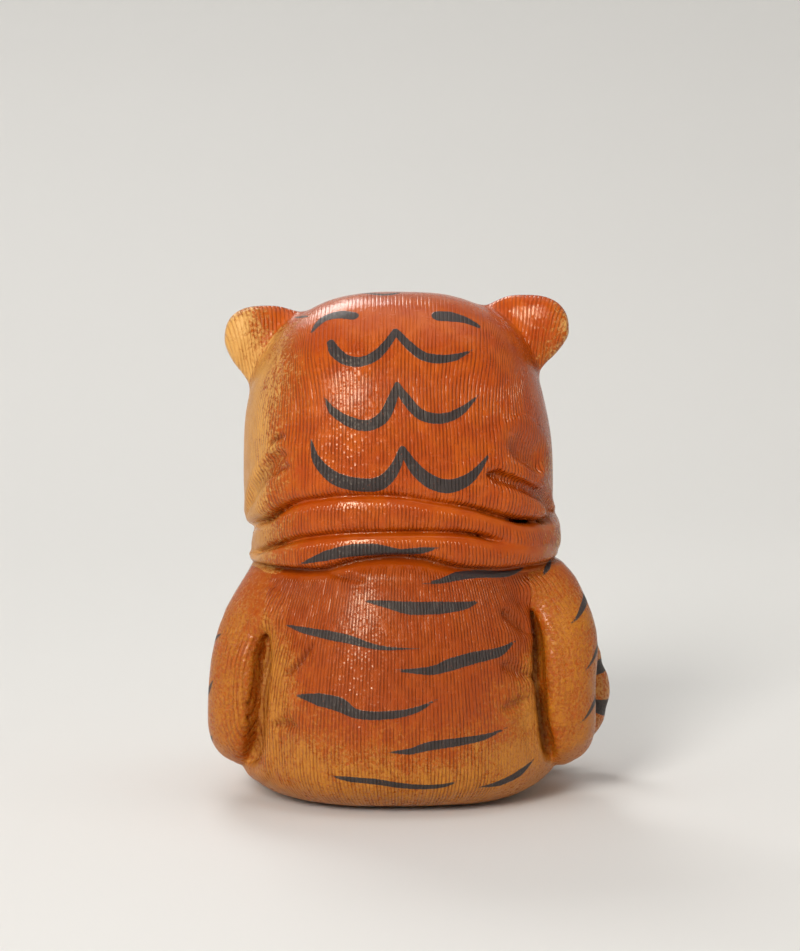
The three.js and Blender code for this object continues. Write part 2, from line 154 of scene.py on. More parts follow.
def eggField(p, egg, grow=0.0):
    halfX = egg["half"][0] + grow
    halfY = egg["half"][1] + grow
    plan = egg["plan"]
    height = p[2] - egg["centre"][2]
    x = np.abs(p[0] - egg["centre"][0]) / halfX
    y = np.abs(p[1] - egg["centre"][1] + egg.get("lean", 0.0) * p[2]) / halfY
    above = height > 0
    reach = np.where(above, egg["rise"] + grow, egg["sink"] + grow).astype(np.float32)
    close = np.where(above, egg["crown"], egg["keel"]).astype(np.float32)
    z = np.abs(height) / reach
    ring = (x**plan + y**plan + tiny) ** (1 / plan)
    size = (ring**close + z**close + tiny) ** (1 / close)
    slopeRing = (ring / size) ** (close - 1)
    slopeX = (x / ring) ** (plan - 1) / halfX
    slopeY = (y / ring) ** (plan - 1) / halfY
    slopeZ = (z / size) ** (close - 1) / reach
    return (size - 1) / np.sqrt(slopeRing**2 * (slopeX**2 + slopeY**2) + slopeZ**2)


def plugField(p, halfX, halfY, plan, y, low, high):
    wall = ovalField(p[0], p[1] - y, halfX, halfY, plan)
    return np.maximum(wall, np.maximum(low - p[2], p[2] - high))


# a round limb through knots of x, y, z and radius, its spans softly joined
limbFinish = {"join": 0.5, "trim": 0.2, "margin": 8.0}


def limbOf(knots, steps=5):
    path = throughPoints(knots, steps).astype(np.float32)
    radius = path[:, 3].max()
    return {
        "path": path,
        "low": path[:, :3].min(0) - radius,
        "high": path[:, :3].max(0) + radius,
    }


def limbField(p, limb):
    def measure(q):
        best = allFar(q)
        for start, end in zip(limb["path"][:-1], limb["path"][1:]):
            share, distance = offSpan(q, start[:3], end[:3])
            reach = start[3] + (end[3] - start[3]) * share
            best = smoothMin(best, distance - reach, limbFinish["join"])
        return best + limbFinish["trim"]

    return nearOnly(p, limb["low"], limb["high"], limbFinish["margin"], measure)


# how far along the limb its nearest point lies
def alongLimb(p, limb):
    best = allFar(p)
    along = np.zeros(p.shape[1], np.float32)
    path = limb["path"][:, :3]
    for start, end, before in zip(path[:-1], path[1:], limb["along"]):
        share, distance = offSpan(p, start, end)
        nearer = distance < best
        best = np.where(nearer, distance, best)
        along = np.where(nearer, before + share * np.linalg.norm(end - start), along)
    return along


# distance to a polyline that carries a half width per point: below zero inside the stroke
def strokeField(p, path, half, margin):
    def measure(q):
        best = allFar(q)
        for i in range(len(path) - 1):
            share, distance = offSpan(q, path[i], path[i + 1])
            best = np.minimum(best, distance - (half[i] + (half[i + 1] - half[i]) * share))
        return best

    return nearOnly(p, path.min(0), path.max(0), margin, measure)


# Torso: pear-shaped, leaning back a little, cut flat at the foot
torsoHigh = cadBox("torso")[1]
torsoShape = {
    "half": (torsoHigh[0], 23.4),
    "centre": (0.0, 0.0, 8.0),
    "rise": 43.0,
    "sink": 9.6,
    "plan": 2.3,
    "crown": 2.05,
    "keel": 2.6,
    "lean": 3.9 / 43.0,
    "wall": 3.6,
    "neckHeight": 40.0,
    "footEdge": 1.6,
    "neckRise": 1.5,
    "neckEdge": 1.0,
    "collar": (12.2, 8.6),
    "collarSpan": (30.0, 60.0),
    "collarBack": 3.0,
    "slabClear": 0.3,
    "slabSpan": (-5.0, 8.0),
    "slabEdge": 0.6,
}
slabHigh = cadBox("base_slab")[1]


def torsoField(p):
    body = eggField(p, torsoShape)
    body = smoothMax(body, -p[2], torsoShape["footEdge"])
    top = p[2] - torsoShape["neckHeight"] - torsoShape["neckRise"]
    return smoothMax(body, top, torsoShape["neckEdge"])


def torsoHollow(p):
    plan, clear = torsoShape["plan"], torsoShape["slabClear"]
    chamber = eggField(p, torsoShape, -torsoShape["wall"])
    neck = plugField(
        p, *torsoShape["collar"], plan, -torsoShape["collarBack"], *torsoShape["collarSpan"]
    )
    opening = plugField(p, *(slabHigh[:2] + clear), plan, 0, *torsoShape["slabSpan"])
    return smoothMin(np.minimum(chamber, neck), opening, torsoShape["slabEdge"])


# Head: a broad loaf that overhangs the neck, its lower edge following the top crease
headHigh = cadBox("head")[1]
headShape = {
    "half": (headHigh[0], 20.8),
    "centre": (0.0, -1.2, 52.4),
    "rise": headHigh[2] - 52.4,
    "sink": 24.0,
    "plan": 2.6,
    "crown": 2.5,
    "keel": 3.0,
    "wall": 3.4,
    "jawEdge": 1.9,
    "socket": (14.9, 11.3),
    "socketSpan": (20.0, 54.0),
    "socketEdge": 0.8,
    "floorEdge": 1.0,
}
headPieces = ("head", "nape_roll_lower", "nape_roll_upper")

# Creases of the nape: height over the turn round the head's axis, 0 at the back, right positive
creases = {
    "nape": [
        (-180, 37.2), (-150, 37.6), (-120, 39.6), (-90, 42.4), (-75, 43.2), (-65, 43.9),
        (-58, 44.5), (-50, 46.2), (-42, 47.4), (-32, 48.1), (-22, 48.5), (-1, 48.5),
        (14, 47.7), (28, 46.8), (41, 45.3), (50, 44.3), (62, 44.0), (76, 44.2), (90, 44.2),
        (120, 40.2), (150, 37.6), (180, 37.2),
    ],
    "middle": [
        (-180, 35.6), (-124, 36.4), (-90, 37.9), (-70, 38.8), (-58, 40.1), (-49, 41.1),
        (-41, 41.9), (-26, 42.7), (-10, 43.0), (12, 43.1), (25, 42.9), (34, 42.3),
        (39, 41.7), (55, 40.4), (70, 39.7), (90, 39.4), (124, 37.2), (180, 35.6),
    ],
    "shoulder": [
        (-180, 35.0), (-124, 35.9), (-90, 36.6), (-78, 37.0), (-54, 36.8), (-35, 37.0),
        (-26, 37.9), (-18, 38.7), (-3, 39.2), (10, 38.9), (19, 38.1), (28, 37.4),
        (43, 37.0), (60, 37.1), (75, 37.7), (90, 38.0), (124, 36.4), (180, 35.0),
    ],
}
# how deep and how wide each crease is cut, in millimetres over the same turn
creaseCuts = {
    "nape": [(-78, 0, 0.4), (-62, 0.1, 0.4), (20, 0.2, 0.4), (34, 0.45, 0.6), (56, 0.5, 0.8),
             (70, 0.38, 0.8), (84, 0.2, 0.8), (100, 0.08, 0.8), (114, 0, 0.8)],
    "middle": [(-76, 0, 0.4), (-62, 0.1, 0.4), (20, 0.2, 0.4), (36, 0.3, 0.4), (44, 0, 0.4)],
    "shoulder": [(-84, 0.2, 0.5), (-50, 0.5, 0.5), (10, 0.5, 0.6), (30, 0.4, 0.5), (90, 0.3, 0.5)],
}
creaseTables = {name: throughPoints(points, 8) for name, points in creases.items()}


def turnOf(p):
    return np.degrees(np.arctan2(p[0], -(p[1] - headShape["centre"][1]))).astype(np.float32)


def creaseHeight(name, turn):
    table = creaseTables[name]
    return np.interp(turn, table[:, 0], table[:, 1]).astype(np.float32)


# the cut along the three creases: how deep it is at each point
def creaseCut(p):
    turn = turnOf(p)
    depth = np.zeros(p.shape[1], np.float32)
    for name, cuts in creaseCuts.items():
        stations, depths, widths = np.array(cuts, np.float32).T
        reach = np.interp(turn, stations, depths)
        gap = (p[2] - creaseHeight(name, turn)) / np.interp(turn, stations, widths)
        depth += (reach * np.exp(-gap * gap)).astype(np.float32)
    return depth


def headField(p):
    body = eggField(p, headShape)
    edge = creaseHeight("nape", turnOf(p)) - p[2]
    return smoothMax(body, edge, headShape["jawEdge"])


def headHollow(p):
    chamber = eggField(p, headShape, -headShape["wall"])
    floor = creaseHeight("nape", turnOf(p)) + headShape["wall"] - p[2]
    chamber = smoothMax(chamber, floor, headShape["floorEdge"])
    plan, back = torsoShape["plan"], -torsoShape["collarBack"]
    socket = plugField(p, *headShape["socket"], plan, back, *headShape["socketSpan"])
    return smoothMin(chamber, socket, headShape["socketEdge"])


# Rolls of the nape: round in section, lying between two creases, thinning under the cheeks
rollShape = {
    "reach": 124.0,
    "thickness": 7.4,
    "inset": 0.3,
    "shift": 0.8,
    "section": 3.6,
    "sideSection": 2.5,
    "sideSpan": (62, 84),
    "swellSpan": (55, 85),
    "tuck": 4.5,
    "tuckFrom": 88,
    "leastHeight": 0.8,
    "taper": 4,
    "leastTaper": 0.02,
    "fade": 4,
    "fadeSlope": 0.4,
}


def rollField(p, lower, upper, rightSwell):
    roll = rollShape
    turn = turnOf(p - np.array([[roll["shift"]], [0], [0]], np.float32))
    aside = np.abs(turn)
    halfX, halfY = (half - roll["inset"] for half in headShape["half"])
    rim = rimOf(np.radians(turn), halfX, halfY, headShape["plan"])
    rim = rim + rightSwell * easeStep(turn, *roll["swellSpan"])
    rim = rim - roll["tuck"] * easeStep(aside, roll["tuckFrom"], roll["reach"])
    taper = 1 - np.abs(turn / roll["reach"]) ** roll["taper"]
    taper = np.sqrt(np.clip(taper, roll["leastTaper"] ** 2, 1.0))
    low, high = creaseHeight(lower, turn), creaseHeight(upper, turn)
    halfOut = roll["thickness"] / 2 * taper
    halfUp = np.maximum((high - low) / 2, roll["leastHeight"] / 2) * taper
    out = np.hypot(p[0] - roll["shift"], p[1] - headShape["centre"][1]) - rim
    sides = easeStep(aside, *roll["sideSpan"])
    power = roll["section"] + (roll["sideSection"] - roll["section"]) * sides
    middle = (low + high) / 2
    clay = ovalField(out + roll["thickness"] / 2, p[2] - middle, halfOut, halfUp, power)
    return np.maximum(clay, (aside - roll["reach"] + roll["fade"]) * roll["fadeSlope"])


# Ears: thick pinched discs, cupped in front
earShapes = {
    "left_ear": {"side": -1, "halfWidth": 6.6, "rise": 5.6, "drop": 7.5, "climb": 38.5},
    "right_ear": {"side": 1, "halfWidth": 7.1, "rise": 6.2, "drop": 6.9, "climb": 42},
}
earFinish = {"thickness": 5.6, "standoff": 1.1, "turn": 16, "rim": 2.4, "cupDepth": 3.6}
earPowers = (2.4, 2.5, 1.5)
earEdge = {"inset": 0.05, "rim": 1.6, "margin": 7.0}
earFan = {"below": 19, "pitch": 0.36, "depth": 0.7}


def earPlace(ear):
    climb = math.radians(ear["climb"])
    power = 2 / headShape["crown"]
    standoff = earFinish["standoff"]
    out = headShape["half"][0] * math.cos(climb) ** power + standoff * math.cos(climb)
    up = headShape["rise"] * math.sin(climb) ** power + standoff * math.sin(climb)
    seat = np.array([ear["side"] * out, headShape["centre"][1], headShape["centre"][2] + up])
    yaw = math.radians(-ear["side"] * earFinish["turn"])
    turn = [[math.cos(yaw), -math.sin(yaw), 0], [math.sin(yaw), math.cos(yaw), 0], [0, 0, 1]]
    return seat, np.array(turn)


def inEar(p, ear):
    seat, turn = earPlace(ear)
    return (turn.T @ (p - seat[:, None])).astype(np.float32)


def earField(p, ear):
    seat, _ = earPlace(ear)
    rim = earFinish["rim"]
    width, rise, drop = (ear[key] for key in ("halfWidth", "rise", "drop"))
    thick = earFinish["thickness"] / 2
    disc = eggOf((0.0, 0.0, 0.0), (width, thick), rise, drop, *earPowers)
    cupHalf = (width - rim, earFinish["cupDepth"])
    cup = eggOf((0.0, thick, 0.0), cupHalf, rise - rim, drop - rim, *earPowers)

    def measure(q):
        local = inEar(q, ear)
        outside = eggField(local, disc, -earEdge["inset"])
        return smoothMax(outside, -eggField(local, cup), earEdge["rim"])

    return nearOnly(p, seat - drop, seat + drop, earEdge["margin"], measure)


# Arms: hanging from the shoulder, elbow low, forearm forward, the paw on the belly
armShapes = {
    "left_arm": {"side": -1, "inset": 1.5, "shoulderInset": 6.8, "blendSpan": (25.0, 30.0)},
    "right_arm": {"side": 1, "inset": 0.4, "shoulderInset": 2.6, "blendSpan": (30.0, 34.5)},
}
armBuild = {
    "shoulder": 6.0,
    "upper": 5.7,
    "forearm": 4.7,
    "behind": 10.0,
    "lead": 3.4,
    "swell": 1.2,
    "elbow": 11.2,
    "paw": 5.3,
    "pawHeight": 23.0,
}


def armKnots(arm):
    out = torsoShape["half"][0] - arm["inset"]
    shoulderOut = torsoShape["half"][0] - arm["shoulderInset"]
    shoulder, upper, forearm = (armBuild[key] for key in ("shoulder", "upper", "forearm"))
    behind, lead, elbow, paw = (armBuild[key] for key in ("behind", "lead", "elbow", "pawHeight"))
    top = torsoShape["neckHeight"] - 2.4 - shoulder
    drop = top - elbow
    middle = (out + shoulderOut) / 2 + armBuild["swell"]
    belly = torsoShape["half"][1]
    knots = [
        (shoulderOut, lead - behind, top, shoulder),
        (middle, lead * 0.3 - behind, top - drop * 0.3, (shoulder + upper) / 2),
        (out, -behind, top - drop * 0.66, upper),
        (out, 2.2 - behind, elbow, upper),
        (out, 13.6 - behind, elbow + 1.8, forearm),
        (out - 4, belly - 9.8, (elbow + paw) / 2 + 2, forearm),
        (out - 11, belly - 5.2, paw, armBuild["paw"]),
    ]
    return [(arm["side"] * x, y, z, radius) for x, y, z, radius in knots]


armLimbs = {name: limbOf(armKnots(arm), 4) for name, arm in armShapes.items()}

# Legs: short and stretched forward with the sole upright
legShape = {
    "spread": torsoShape["half"][0] - 8.8,
    "thigh": 8.0,
    "shin": 7.2,
    "sole": torsoShape["half"][1] + 1.8,
    "foot": (7.6, 4.6, 9.2),
    "footPower": 2.3,
    "footInset": 0.25,
    "ankle": 1.6,
    "clear": 0.3,
}


def legLimb(side):
    spread, thigh, shin = (legShape[key] for key in ("spread", "thigh", "shin"))
    clear = legShape["clear"]
    belly = torsoShape["half"][1]
    knots = [
        (side * spread, belly - 19.4, thigh + clear, thigh),
        (side * (spread + 0.8), belly - 9.4, thigh + clear, thigh),
        (side * (spread + 0.4), legShape["sole"] - 2.3, shin + clear, shin),
    ]
    return limbOf(knots, 4)


legLimbs = {"left_leg": legLimb(-1), "right_leg": legLimb(1)}


def legField(p, name):
    side = -1 if name.startswith("left") else 1
    halfX, halfY, halfZ = legShape["foot"]
    middle = (side * legShape["spread"], legShape["sole"], halfZ + legShape["clear"])
    powers = [legShape["footPower"]] * 3
    foot = eggOf(middle, (halfX, halfY), halfZ, halfZ, *powers)
    sole = eggField(p, foot, -legShape["footInset"])
    return smoothMin(limbField(p, legLimbs[name]), sole, legShape["ankle"])


# Tail: leaves the right flank low beside the leg and curls up ahead of the elbow
tailShape = {
    "radius": 3.2,
    "tipRadius": 2.9,
    "reach": 6.5,
    "behind": 7.9,
    "aboveTable": 3.0,
    "tipHeight": 19.6,
    "bandEvery": 5.9,
    "bandShift": 0.25,
    "bandWidth": 2.2,
    "bandDepth": 0.35,
}


def tailLimb():
    reach = torsoShape["half"][0] + tailShape["reach"]
    forward = torsoShape["half"][1] - tailShape["behind"]
    radius = tailShape["radius"]
    low = tailShape["aboveTable"] + radius
    tip = tailShape["tipHeight"]
    limb = limbOf(
        [
            (reach - 10.9, forward - 5.5, low + 0.3, radius),
            (reach - 5.4, forward - 2.5, low, radius),
            (reach - 1.3, forward - 0.3, low + 2.6, radius),
            (reach, forward, (low + tip) / 2 + 0.6, radius),
            (reach - 1.3, forward, tip, tailShape["tipRadius"]),
        ],
        14,
    )
    path = limb["path"]
    steps = np.linalg.norm(np.diff(path[:, :3], axis=0), axis=1)
    limb["along"] = np.concatenate([[0], np.cumsum(steps)])
    band = bandGap(limb["along"], limb["along"][-1])
    path[:, 3] -= tailShape["bandDepth"] * easeStep(-band, -0.6, 0.5)
    return limb


# gap to the nearest dark band of the tail, measured back from the tip; below zero inside it
def bandGap(along, length):
    every = tailShape["bandEvery"]
    phase = (length - along + tailShape["bandShift"]) % every
    return np.abs(phase - every / 2) - tailShape["bandWidth"] / 2


tail = tailLimb()


# Face pads: x, height, half width, half height and depth, seated on the front of the head
faceShapes = {
    "chin": (0.0, 44.65, 5.4, 3.0, 3.6),
    "left_muzzle_pad": (-5.0, 51.0, 6.6, 5.0, 5.4),
    "right_muzzle_pad": (5.0, 51.0, 6.6, 5.0, 5.4),
    "nose": (0.0, 57.0, 3.4, 2.3, 5.0),
    "left_eye": (-9.6, 60.6, 2.3, 2.65, 2.3),
    "right_eye": (9.6, 60.6, 2.3, 2.65, 2.3),
}


def headFront(x, height):
    climb = height - headShape["centre"][2]
    reach, close = ("rise", "crown") if climb > 0 else ("sink", "keel")
    share = 1 - (abs(climb) / headShape[reach]) ** headShape[close]
    share = share ** (1 / headShape[close])
    across = abs(x) / (headShape["half"][0] * share)
    plan = headShape["plan"]
    return headShape["centre"][1] + headShape["half"][1] * share * (1 - across**plan) ** (1 / plan)


padPowers = (2.2, 2.2, 2.2)
padMargin = 6.0


def padShape(x, height, halfWidth, halfHeight, depth):
    middle = (x, headFront(x, height), height)
    return eggOf(middle, (halfWidth, depth), halfHeight, halfHeight, *padPowers)


facePads = {name: padShape(*shape) for name, shape in faceShapes.items()}


def padField(p, name):
    pad = facePads[name]
    centre = np.array(pad["centre"])
    size = np.array([pad["half"][0], pad["half"][1], pad["rise"]])
    return nearOnly(p, centre - size, centre + size, padMargin, lambda q: eggField(q, pad))


# How softly each piece runs into those before it, in millimetres
softness = {
    "arm": 0.6,
    "shoulder": 6.0,
    "armFront": 1.6,
    "nape": 1.5,
    "napeSides": 0.9,
    "rightFold": 1.1,
    "rollRight": 2.4,
    "rollLeft": 1.5,
}


def armBlend(p, name):
    shoulder = easeStep(p[2], *armShapes[name]["blendSpan"])
    behind = softness["arm"] + softness["shoulder"] * shoulder
    return np.where(p[1] > 4, np.maximum(behind, softness["armFront"]), behind).astype(np.float32)


# the spans are degrees of the turn round the head
def creaseBlend(p):
    turn = turnOf(p)
    sides = easeStep(np.abs(turn), 64, 84)
    fold = easeStep(turn, 24, 44) * easeStep(-turn, -104, -84)
    return softness["nape"] + softness["napeSides"] * sides + softness["rightFold"] * fold


# the two rolls of the nape run together at both sides
def rollBlend(p):
    turn = turnOf(p)
    right, left = easeStep(turn, 36, 52), easeStep(-turn, 66, 82)
    return softness["nape"] + softness["rollRight"] * right + softness["rollLeft"] * left


# a piece's form, its blend, how far it may run under its neighbours, its mesh step, and what its
# form is made from
def luted(form, blend, cap, step, *source):
    return {"form": lambda p: form(p, *source), "blend": blend, "cap": cap, "step": step}


def lutedArm(name):
    return luted(limbField, lambda p: armBlend(p, name), 3.2, 0.32, armLimbs[name])


# in the order of luting
pieces = {
    "torso": luted(torsoField, 1.0, 3.2, 0.38),
    "left_arm": lutedArm("left_arm"),
    "right_arm": lutedArm("right_arm"),
    "left_leg": luted(legField, 1.6, 1.4, 0.34, "left_leg"),
    "right_leg": luted(legField, 1.6, 1.4, 0.34, "right_leg"),
    "tail": luted(limbField, 1.4, 1.2, 0.28, tail),
    "nape_roll_lower": luted(rollField, creaseBlend, 1.2, 0.32, "shoulder", "middle", -0.4),
    "nape_roll_upper": luted(rollField, rollBlend, 1.8, 0.32, "middle", "nape", 0.8),
    "head": luted(headField, creaseBlend, 1.6, 0.38),
    "left_ear": luted(earField, 2.6, 1.6, 0.26, earShapes["left_ear"]),
    "right_ear": luted(earField, 2.6, 1.6, 0.26, earShapes["right_ear"]),
    "chin": luted(padField, 1.6, 1.2, 0.22, "chin"),
    "left_muzzle_pad": luted(padField, 1.2, 1.2, 0.24, "left_muzzle_pad"),
    "right_muzzle_pad": luted(padField, 0.6, 1.2, 0.24, "right_muzzle_pad"),
    "nose": luted(padField, 0.6, 0.9, 0.18, "nose"),
    "left_eye": luted(padField, 0.5, 0.8, 0.16, "left_eye"),
    "right_eye": luted(padField, 0.5, 0.8, 0.16, "right_eye"),
}
order = list(pieces)
hollows = {"torso": torsoHollow, "head": headHollow}
seamStep = {"lift": 0.05, "width": 1.4, "seat": 1.2, "hollowEdge": 0.5}


# slight unevenness of hand-worked clay, always inwards, and soft dents and swellings
dents = [
    ((24.6, -6.0, 64.0), (5.0, 14.0, 8.0), 0.9),
    ((0.0, -22.5, 36.4), (9.0, 4.0, 1.6), -0.5),
    ((18.0, -14.0, 25.6), (2.6, 5.0, 1.6), -0.35),
    ((17.6, -15.0, 18.6), (3.0, 5.0, 2.0), -0.3),
    ((-15.5, -17.0, 17.0), (3.0, 5.0, 2.4), -0.25),
]


unevenness = {"inwards": 0.13, "wave": 0.035}


def handwork(p):
    wave = (
        np.sin(p[0] * 0.31 + p[2] * 0.17 + 0.6)
        + np.sin(p[1] * 0.27 - p[2] * 0.23 + 2.1)
        + np.sin(p[0] * 0.19 + p[1] * 0.33 + p[2] * 0.11)
        + 0.5 * np.sin(p[0] * 0.71 - p[1] * 0.53 + p[2] * 0.63)
    )
    lift = unevenness["inwards"] + unevenness["wave"] * wave
    for middle, size, depth in dents:
        far = sum(((p[a] - middle[a]) / size[a]) ** 2 for a in range(3))
        lift = lift + depth * np.exp(-far)
    return lift.astype(np.float32)


# Lines pressed or cut into the clay; below zero depth is a raised ridge
grooves = []
grooveMargin = 5.0
grooveFinish = {"lip": 0.15, "lipAt": 2.3, "sunk": 0.55, "thin": 1.7, "ends": (0.3, 0.82)}


def nearGrooves(p):
    low, high = p.min(axis=1), p.max(axis=1)
    for groove in grooves:
        path = groove["path"]
        if (path.min(0) - grooveMargin < high).all() and (path.max(0) + grooveMargin > low).all():
            yield groove, strokeField(p, path, groove["reach"], grooveMargin)


def carving(p):
    depth = creaseCut(p)
    for groove, distance in nearGrooves(p):
        near = distance < grooveMargin
        across = distance[near] / groove["width"]
        cut = groove["depth"] * np.exp(-across * across)
        lip = np.exp(-((across - grooveFinish["lipAt"]) ** 2))
        lip = grooveFinish["lip"] * groove["depth"] * lip
        depth[near] += (cut - lip).astype(np.float32)
    return depth


def skinFields(p):
    fields = {}
    skin = None
    for name, piece in pieces.items():
        field = piece["form"](p)
        fields[name] = field
        if skin is None:
            skin = field
        else:
            blend = piece["blend"]
            skin = smoothMin(skin, field, blend(p) if callable(blend) else blend)
    return skin + handwork(p) + carving(p), fields


def pieceField(p, name):
    skin, fields = skinFields(p)
    own = fields[name]
    others = allFar(p)
    earlier = allFar(p)
    for other in order:
        if other != name:
            others = np.minimum(others, fields[other])
            if order.index(other) < order.index(name):
                earlier = np.minimum(earlier, fields[other])
    side = np.clip((others - own) / seamStep["width"], -1.0, 1.0)
    result = np.maximum(skin - seamStep["lift"] * side, own - pieces[name]["cap"])
    result = np.maximum(result, -(earlier + seamStep["seat"]))
    if name in hollows:
        result = smoothMax(result, -hollows[name](p), seamStep["hollowEdge"])
    return result


# How each side looks at the skin: the two axes it sees, the axis it looks along, from where, and
# which way
views = {
    "back": ([0, 2], 1, -60.0, 1),
    "front": ([0, 2], 1, 60.0, -1),
    "left": ([1, 2], 0, -60.0, 1),
    "right": ([1, 2], 0, 60.0, -1),
    "top": ([0, 1], 2, 110.0, -1),
}
castReach = 95.0
castStep = 0.5


# land a line of flat points on the skin, as one side sees it
def landOn(view, flat):
    seen, castAxis, start, way = views[view]
    steps = np.arange(0.0, castReach, castStep)
    grid = np.zeros((3, len(flat), len(steps)), np.float32)
    grid[seen] = flat.T[:, :, None]
    grid[castAxis] = start + way * steps
    values = skinFields(grid.reshape(3, -1))[0].reshape(len(flat), len(steps))
    inside = values < 0
    hit = np.argmax(inside, axis=1)
    previous = np.maximum(hit - 1, 0)
    rows = np.arange(len(flat))
    before, after = values[rows, previous], values[rows, hit]
    share = before / np.maximum(before - after, 1e-6)
    points = np.zeros((len(flat), 3), np.float32)
    points[:, seen] = flat
    points[:, castAxis] = start + way * (steps[previous] + castStep * share)
    return points[inside.any(axis=1)]


# marks for the right side, each followed by its mirror image for the left
def bothSides(marks):
    for points, *shape in marks:
        yield (points, *shape)
        yield ([(-x, z) for x, z in points], *shape)


# Creases and folds of each view: points, depth, half width and how dark the painted shade in them
# is, which at the mouth and round the eyes is a dark wash line
folds = {
    "back": [
        # between the left arm and the back, with its nick and tuck
        ([(-19.2, 31.5), (-19.7, 26), (-20.2, 20), (-20.7, 14), (-21.5, 9),
            (-23, 5.6)], 2.5, 1.5, 0.7),
        ([(-21.4, 16), (-23.6, 16.4), (-25.2, 16)], 0.5, 0.4, 0.5),
        ([(-21.6, 13.4), (-23.4, 14.2)], 0.4, 0.5, 0.5),
        # between the right arm and the back, with the shoulder above it
        ([(19.6, 32.6), (20.6, 30.4), (20.9, 25.7), (20.9, 19.8), (21.9, 14),
            (23, 9.6), (24.6, 6.4)], 2.5, 1.4, 0.75),
        ([(14.6, 31), (17.4, 29.2), (20.2, 26.2)], 0.85, 0.8, 0.35),
        ([(14.8, 28.6), (17, 27), (19.2, 24.8)], -0.4, 0.9, 0),
        # ledges and tucks beside both arms, and a line under the nape
        ([(14.6, 23.2), (17.6, 21.9), (20.6, 20)], 0.7, 0.9, 0.3),
        ([(15.2, 16), (17.4, 16.6), (20.4, 17.6)], 0.5, 0.8, 0.3),
        ([(-19.6, 13), (-17.4, 13.9), (-14.8, 13.6)], 0.5, 0.7, 0.4),
        ([(-18, 20), (-14.8, 23.3), (-12.2, 27)], 0.55, 0.45, 0.6),
        ([(-11.4, 36.8), (-8.2, 36.2), (-4.4, 35.6)], 0.3, 0.5, 0.3),
        # right cheek
        ([(9.6, 52.2), (12.6, 51.9), (15.4, 51.1), (18.2, 49.8), (20.8, 48.3),
            (22.8, 46.4), (24, 44.6)], 1.5, 0.9, 0.5),
        ([(13, 48.9), (16, 48.1), (18.6, 47.1), (21, 46), (22.4, 45)], -0.7, 1.5, 0),
        ([(16, 56.2), (19, 55), (22.2, 52.6)], 1.4, 1.9, 0.2),
        ([(16.6, 55.2), (18.6, 54.2), (20.4, 52.8), (21.8, 51.6)], 1.3, 0.7, 0.5),
        # left cheek
        ([(-23.8, 43.6), (-22.4, 47.4), (-20.6, 50.6), (-18.4, 53.4), (-15.6, 55.4)], 1.3, 1, 0.3),
        ([(-22.6, 43.8), (-21, 46.8), (-19, 49.4), (-16.6, 51.4)], -0.5, 1.1, 0),
        ([(-19.8, 55.4), (-18.4, 56.8), (-16.6, 57.6)], 0.5, 0.5, 0.7),
        ([(-19.6, 50.6), (-17.8, 52.2), (-15.6, 53.2)], 0.5, 0.5, 0.5),
    ],
    "front": [
        # mouth, fold of the belly and navel
        ([(-9.4, 47.6), (-7.4, 46.4), (-4.6, 46.2), (-1.6, 46.9), (0, 47.7), (1.6, 46.9),
            (4.6, 46.2), (7.4, 46.4), (9.4, 47.6)], 0.7, 0.5, 1),
        ([(-13, 11), (-7, 8.4), (0, 7.6), (7, 8.4), (13, 11)], 0.5, 0.8, 0.3),
        ([(-0.4, 14.6), (0.4, 14.6)], 1.1, 1, 0.6),
    ],
}
eyeRim = [
    (9.6 + 3.3 * math.cos(turn), 60.6 + 3.7 * math.sin(turn))
    for turn in np.radians(range(0, 361, 30))
]
folds["front"] += bothSides([
    (eyeRim, 0.5, 0.45, 0.6),
    # toes
    ([(13.9, 17.2), (13.7, 13.6)], 0.8, 0.45, 0.6),
    ([(16.6, 17.9), (16.6, 14)], 0.8, 0.45, 0.6),
    ([(19.3, 17.2), (19.5, 13.6)], 0.8, 0.45, 0.6),
    # fingers
    ([(11.6, 25), (9.2, 24.8)], 0.7, 0.4, 0.6),
    ([(11.2, 22.9), (8.8, 22.6)], 0.7, 0.4, 0.6),
    ([(11.8, 20.8), (9.6, 20.3)], 0.7, 0.4, 0.6),
])


def pressLine(view, points, depth, width, shadeAndWash):
    path = landOn(view, throughPoints(points, 4))
    castAxis, way = views[view][1], views[view][3]
    path[:, castAxis] += way * grooveFinish["sunk"] * max(depth, 0)
    share = np.linspace(0, 1, len(path))
    closed = np.allclose(points[0], points[-1])
    end = 0.0 if closed else -grooveFinish["thin"] * width
    reach = np.interp(share, [0, *grooveFinish["ends"], 1], [end, 0, 0, end])
    reach = reach.astype(np.float32)
    return {"path": path, "reach": reach, "depth": depth, "width": width, "shadeAndWash": shadeAndWash}


grooves.extend([pressLine(view, *fold) for view in folds for fold in folds[view]])
report(f"{len(grooves)} folds landed")

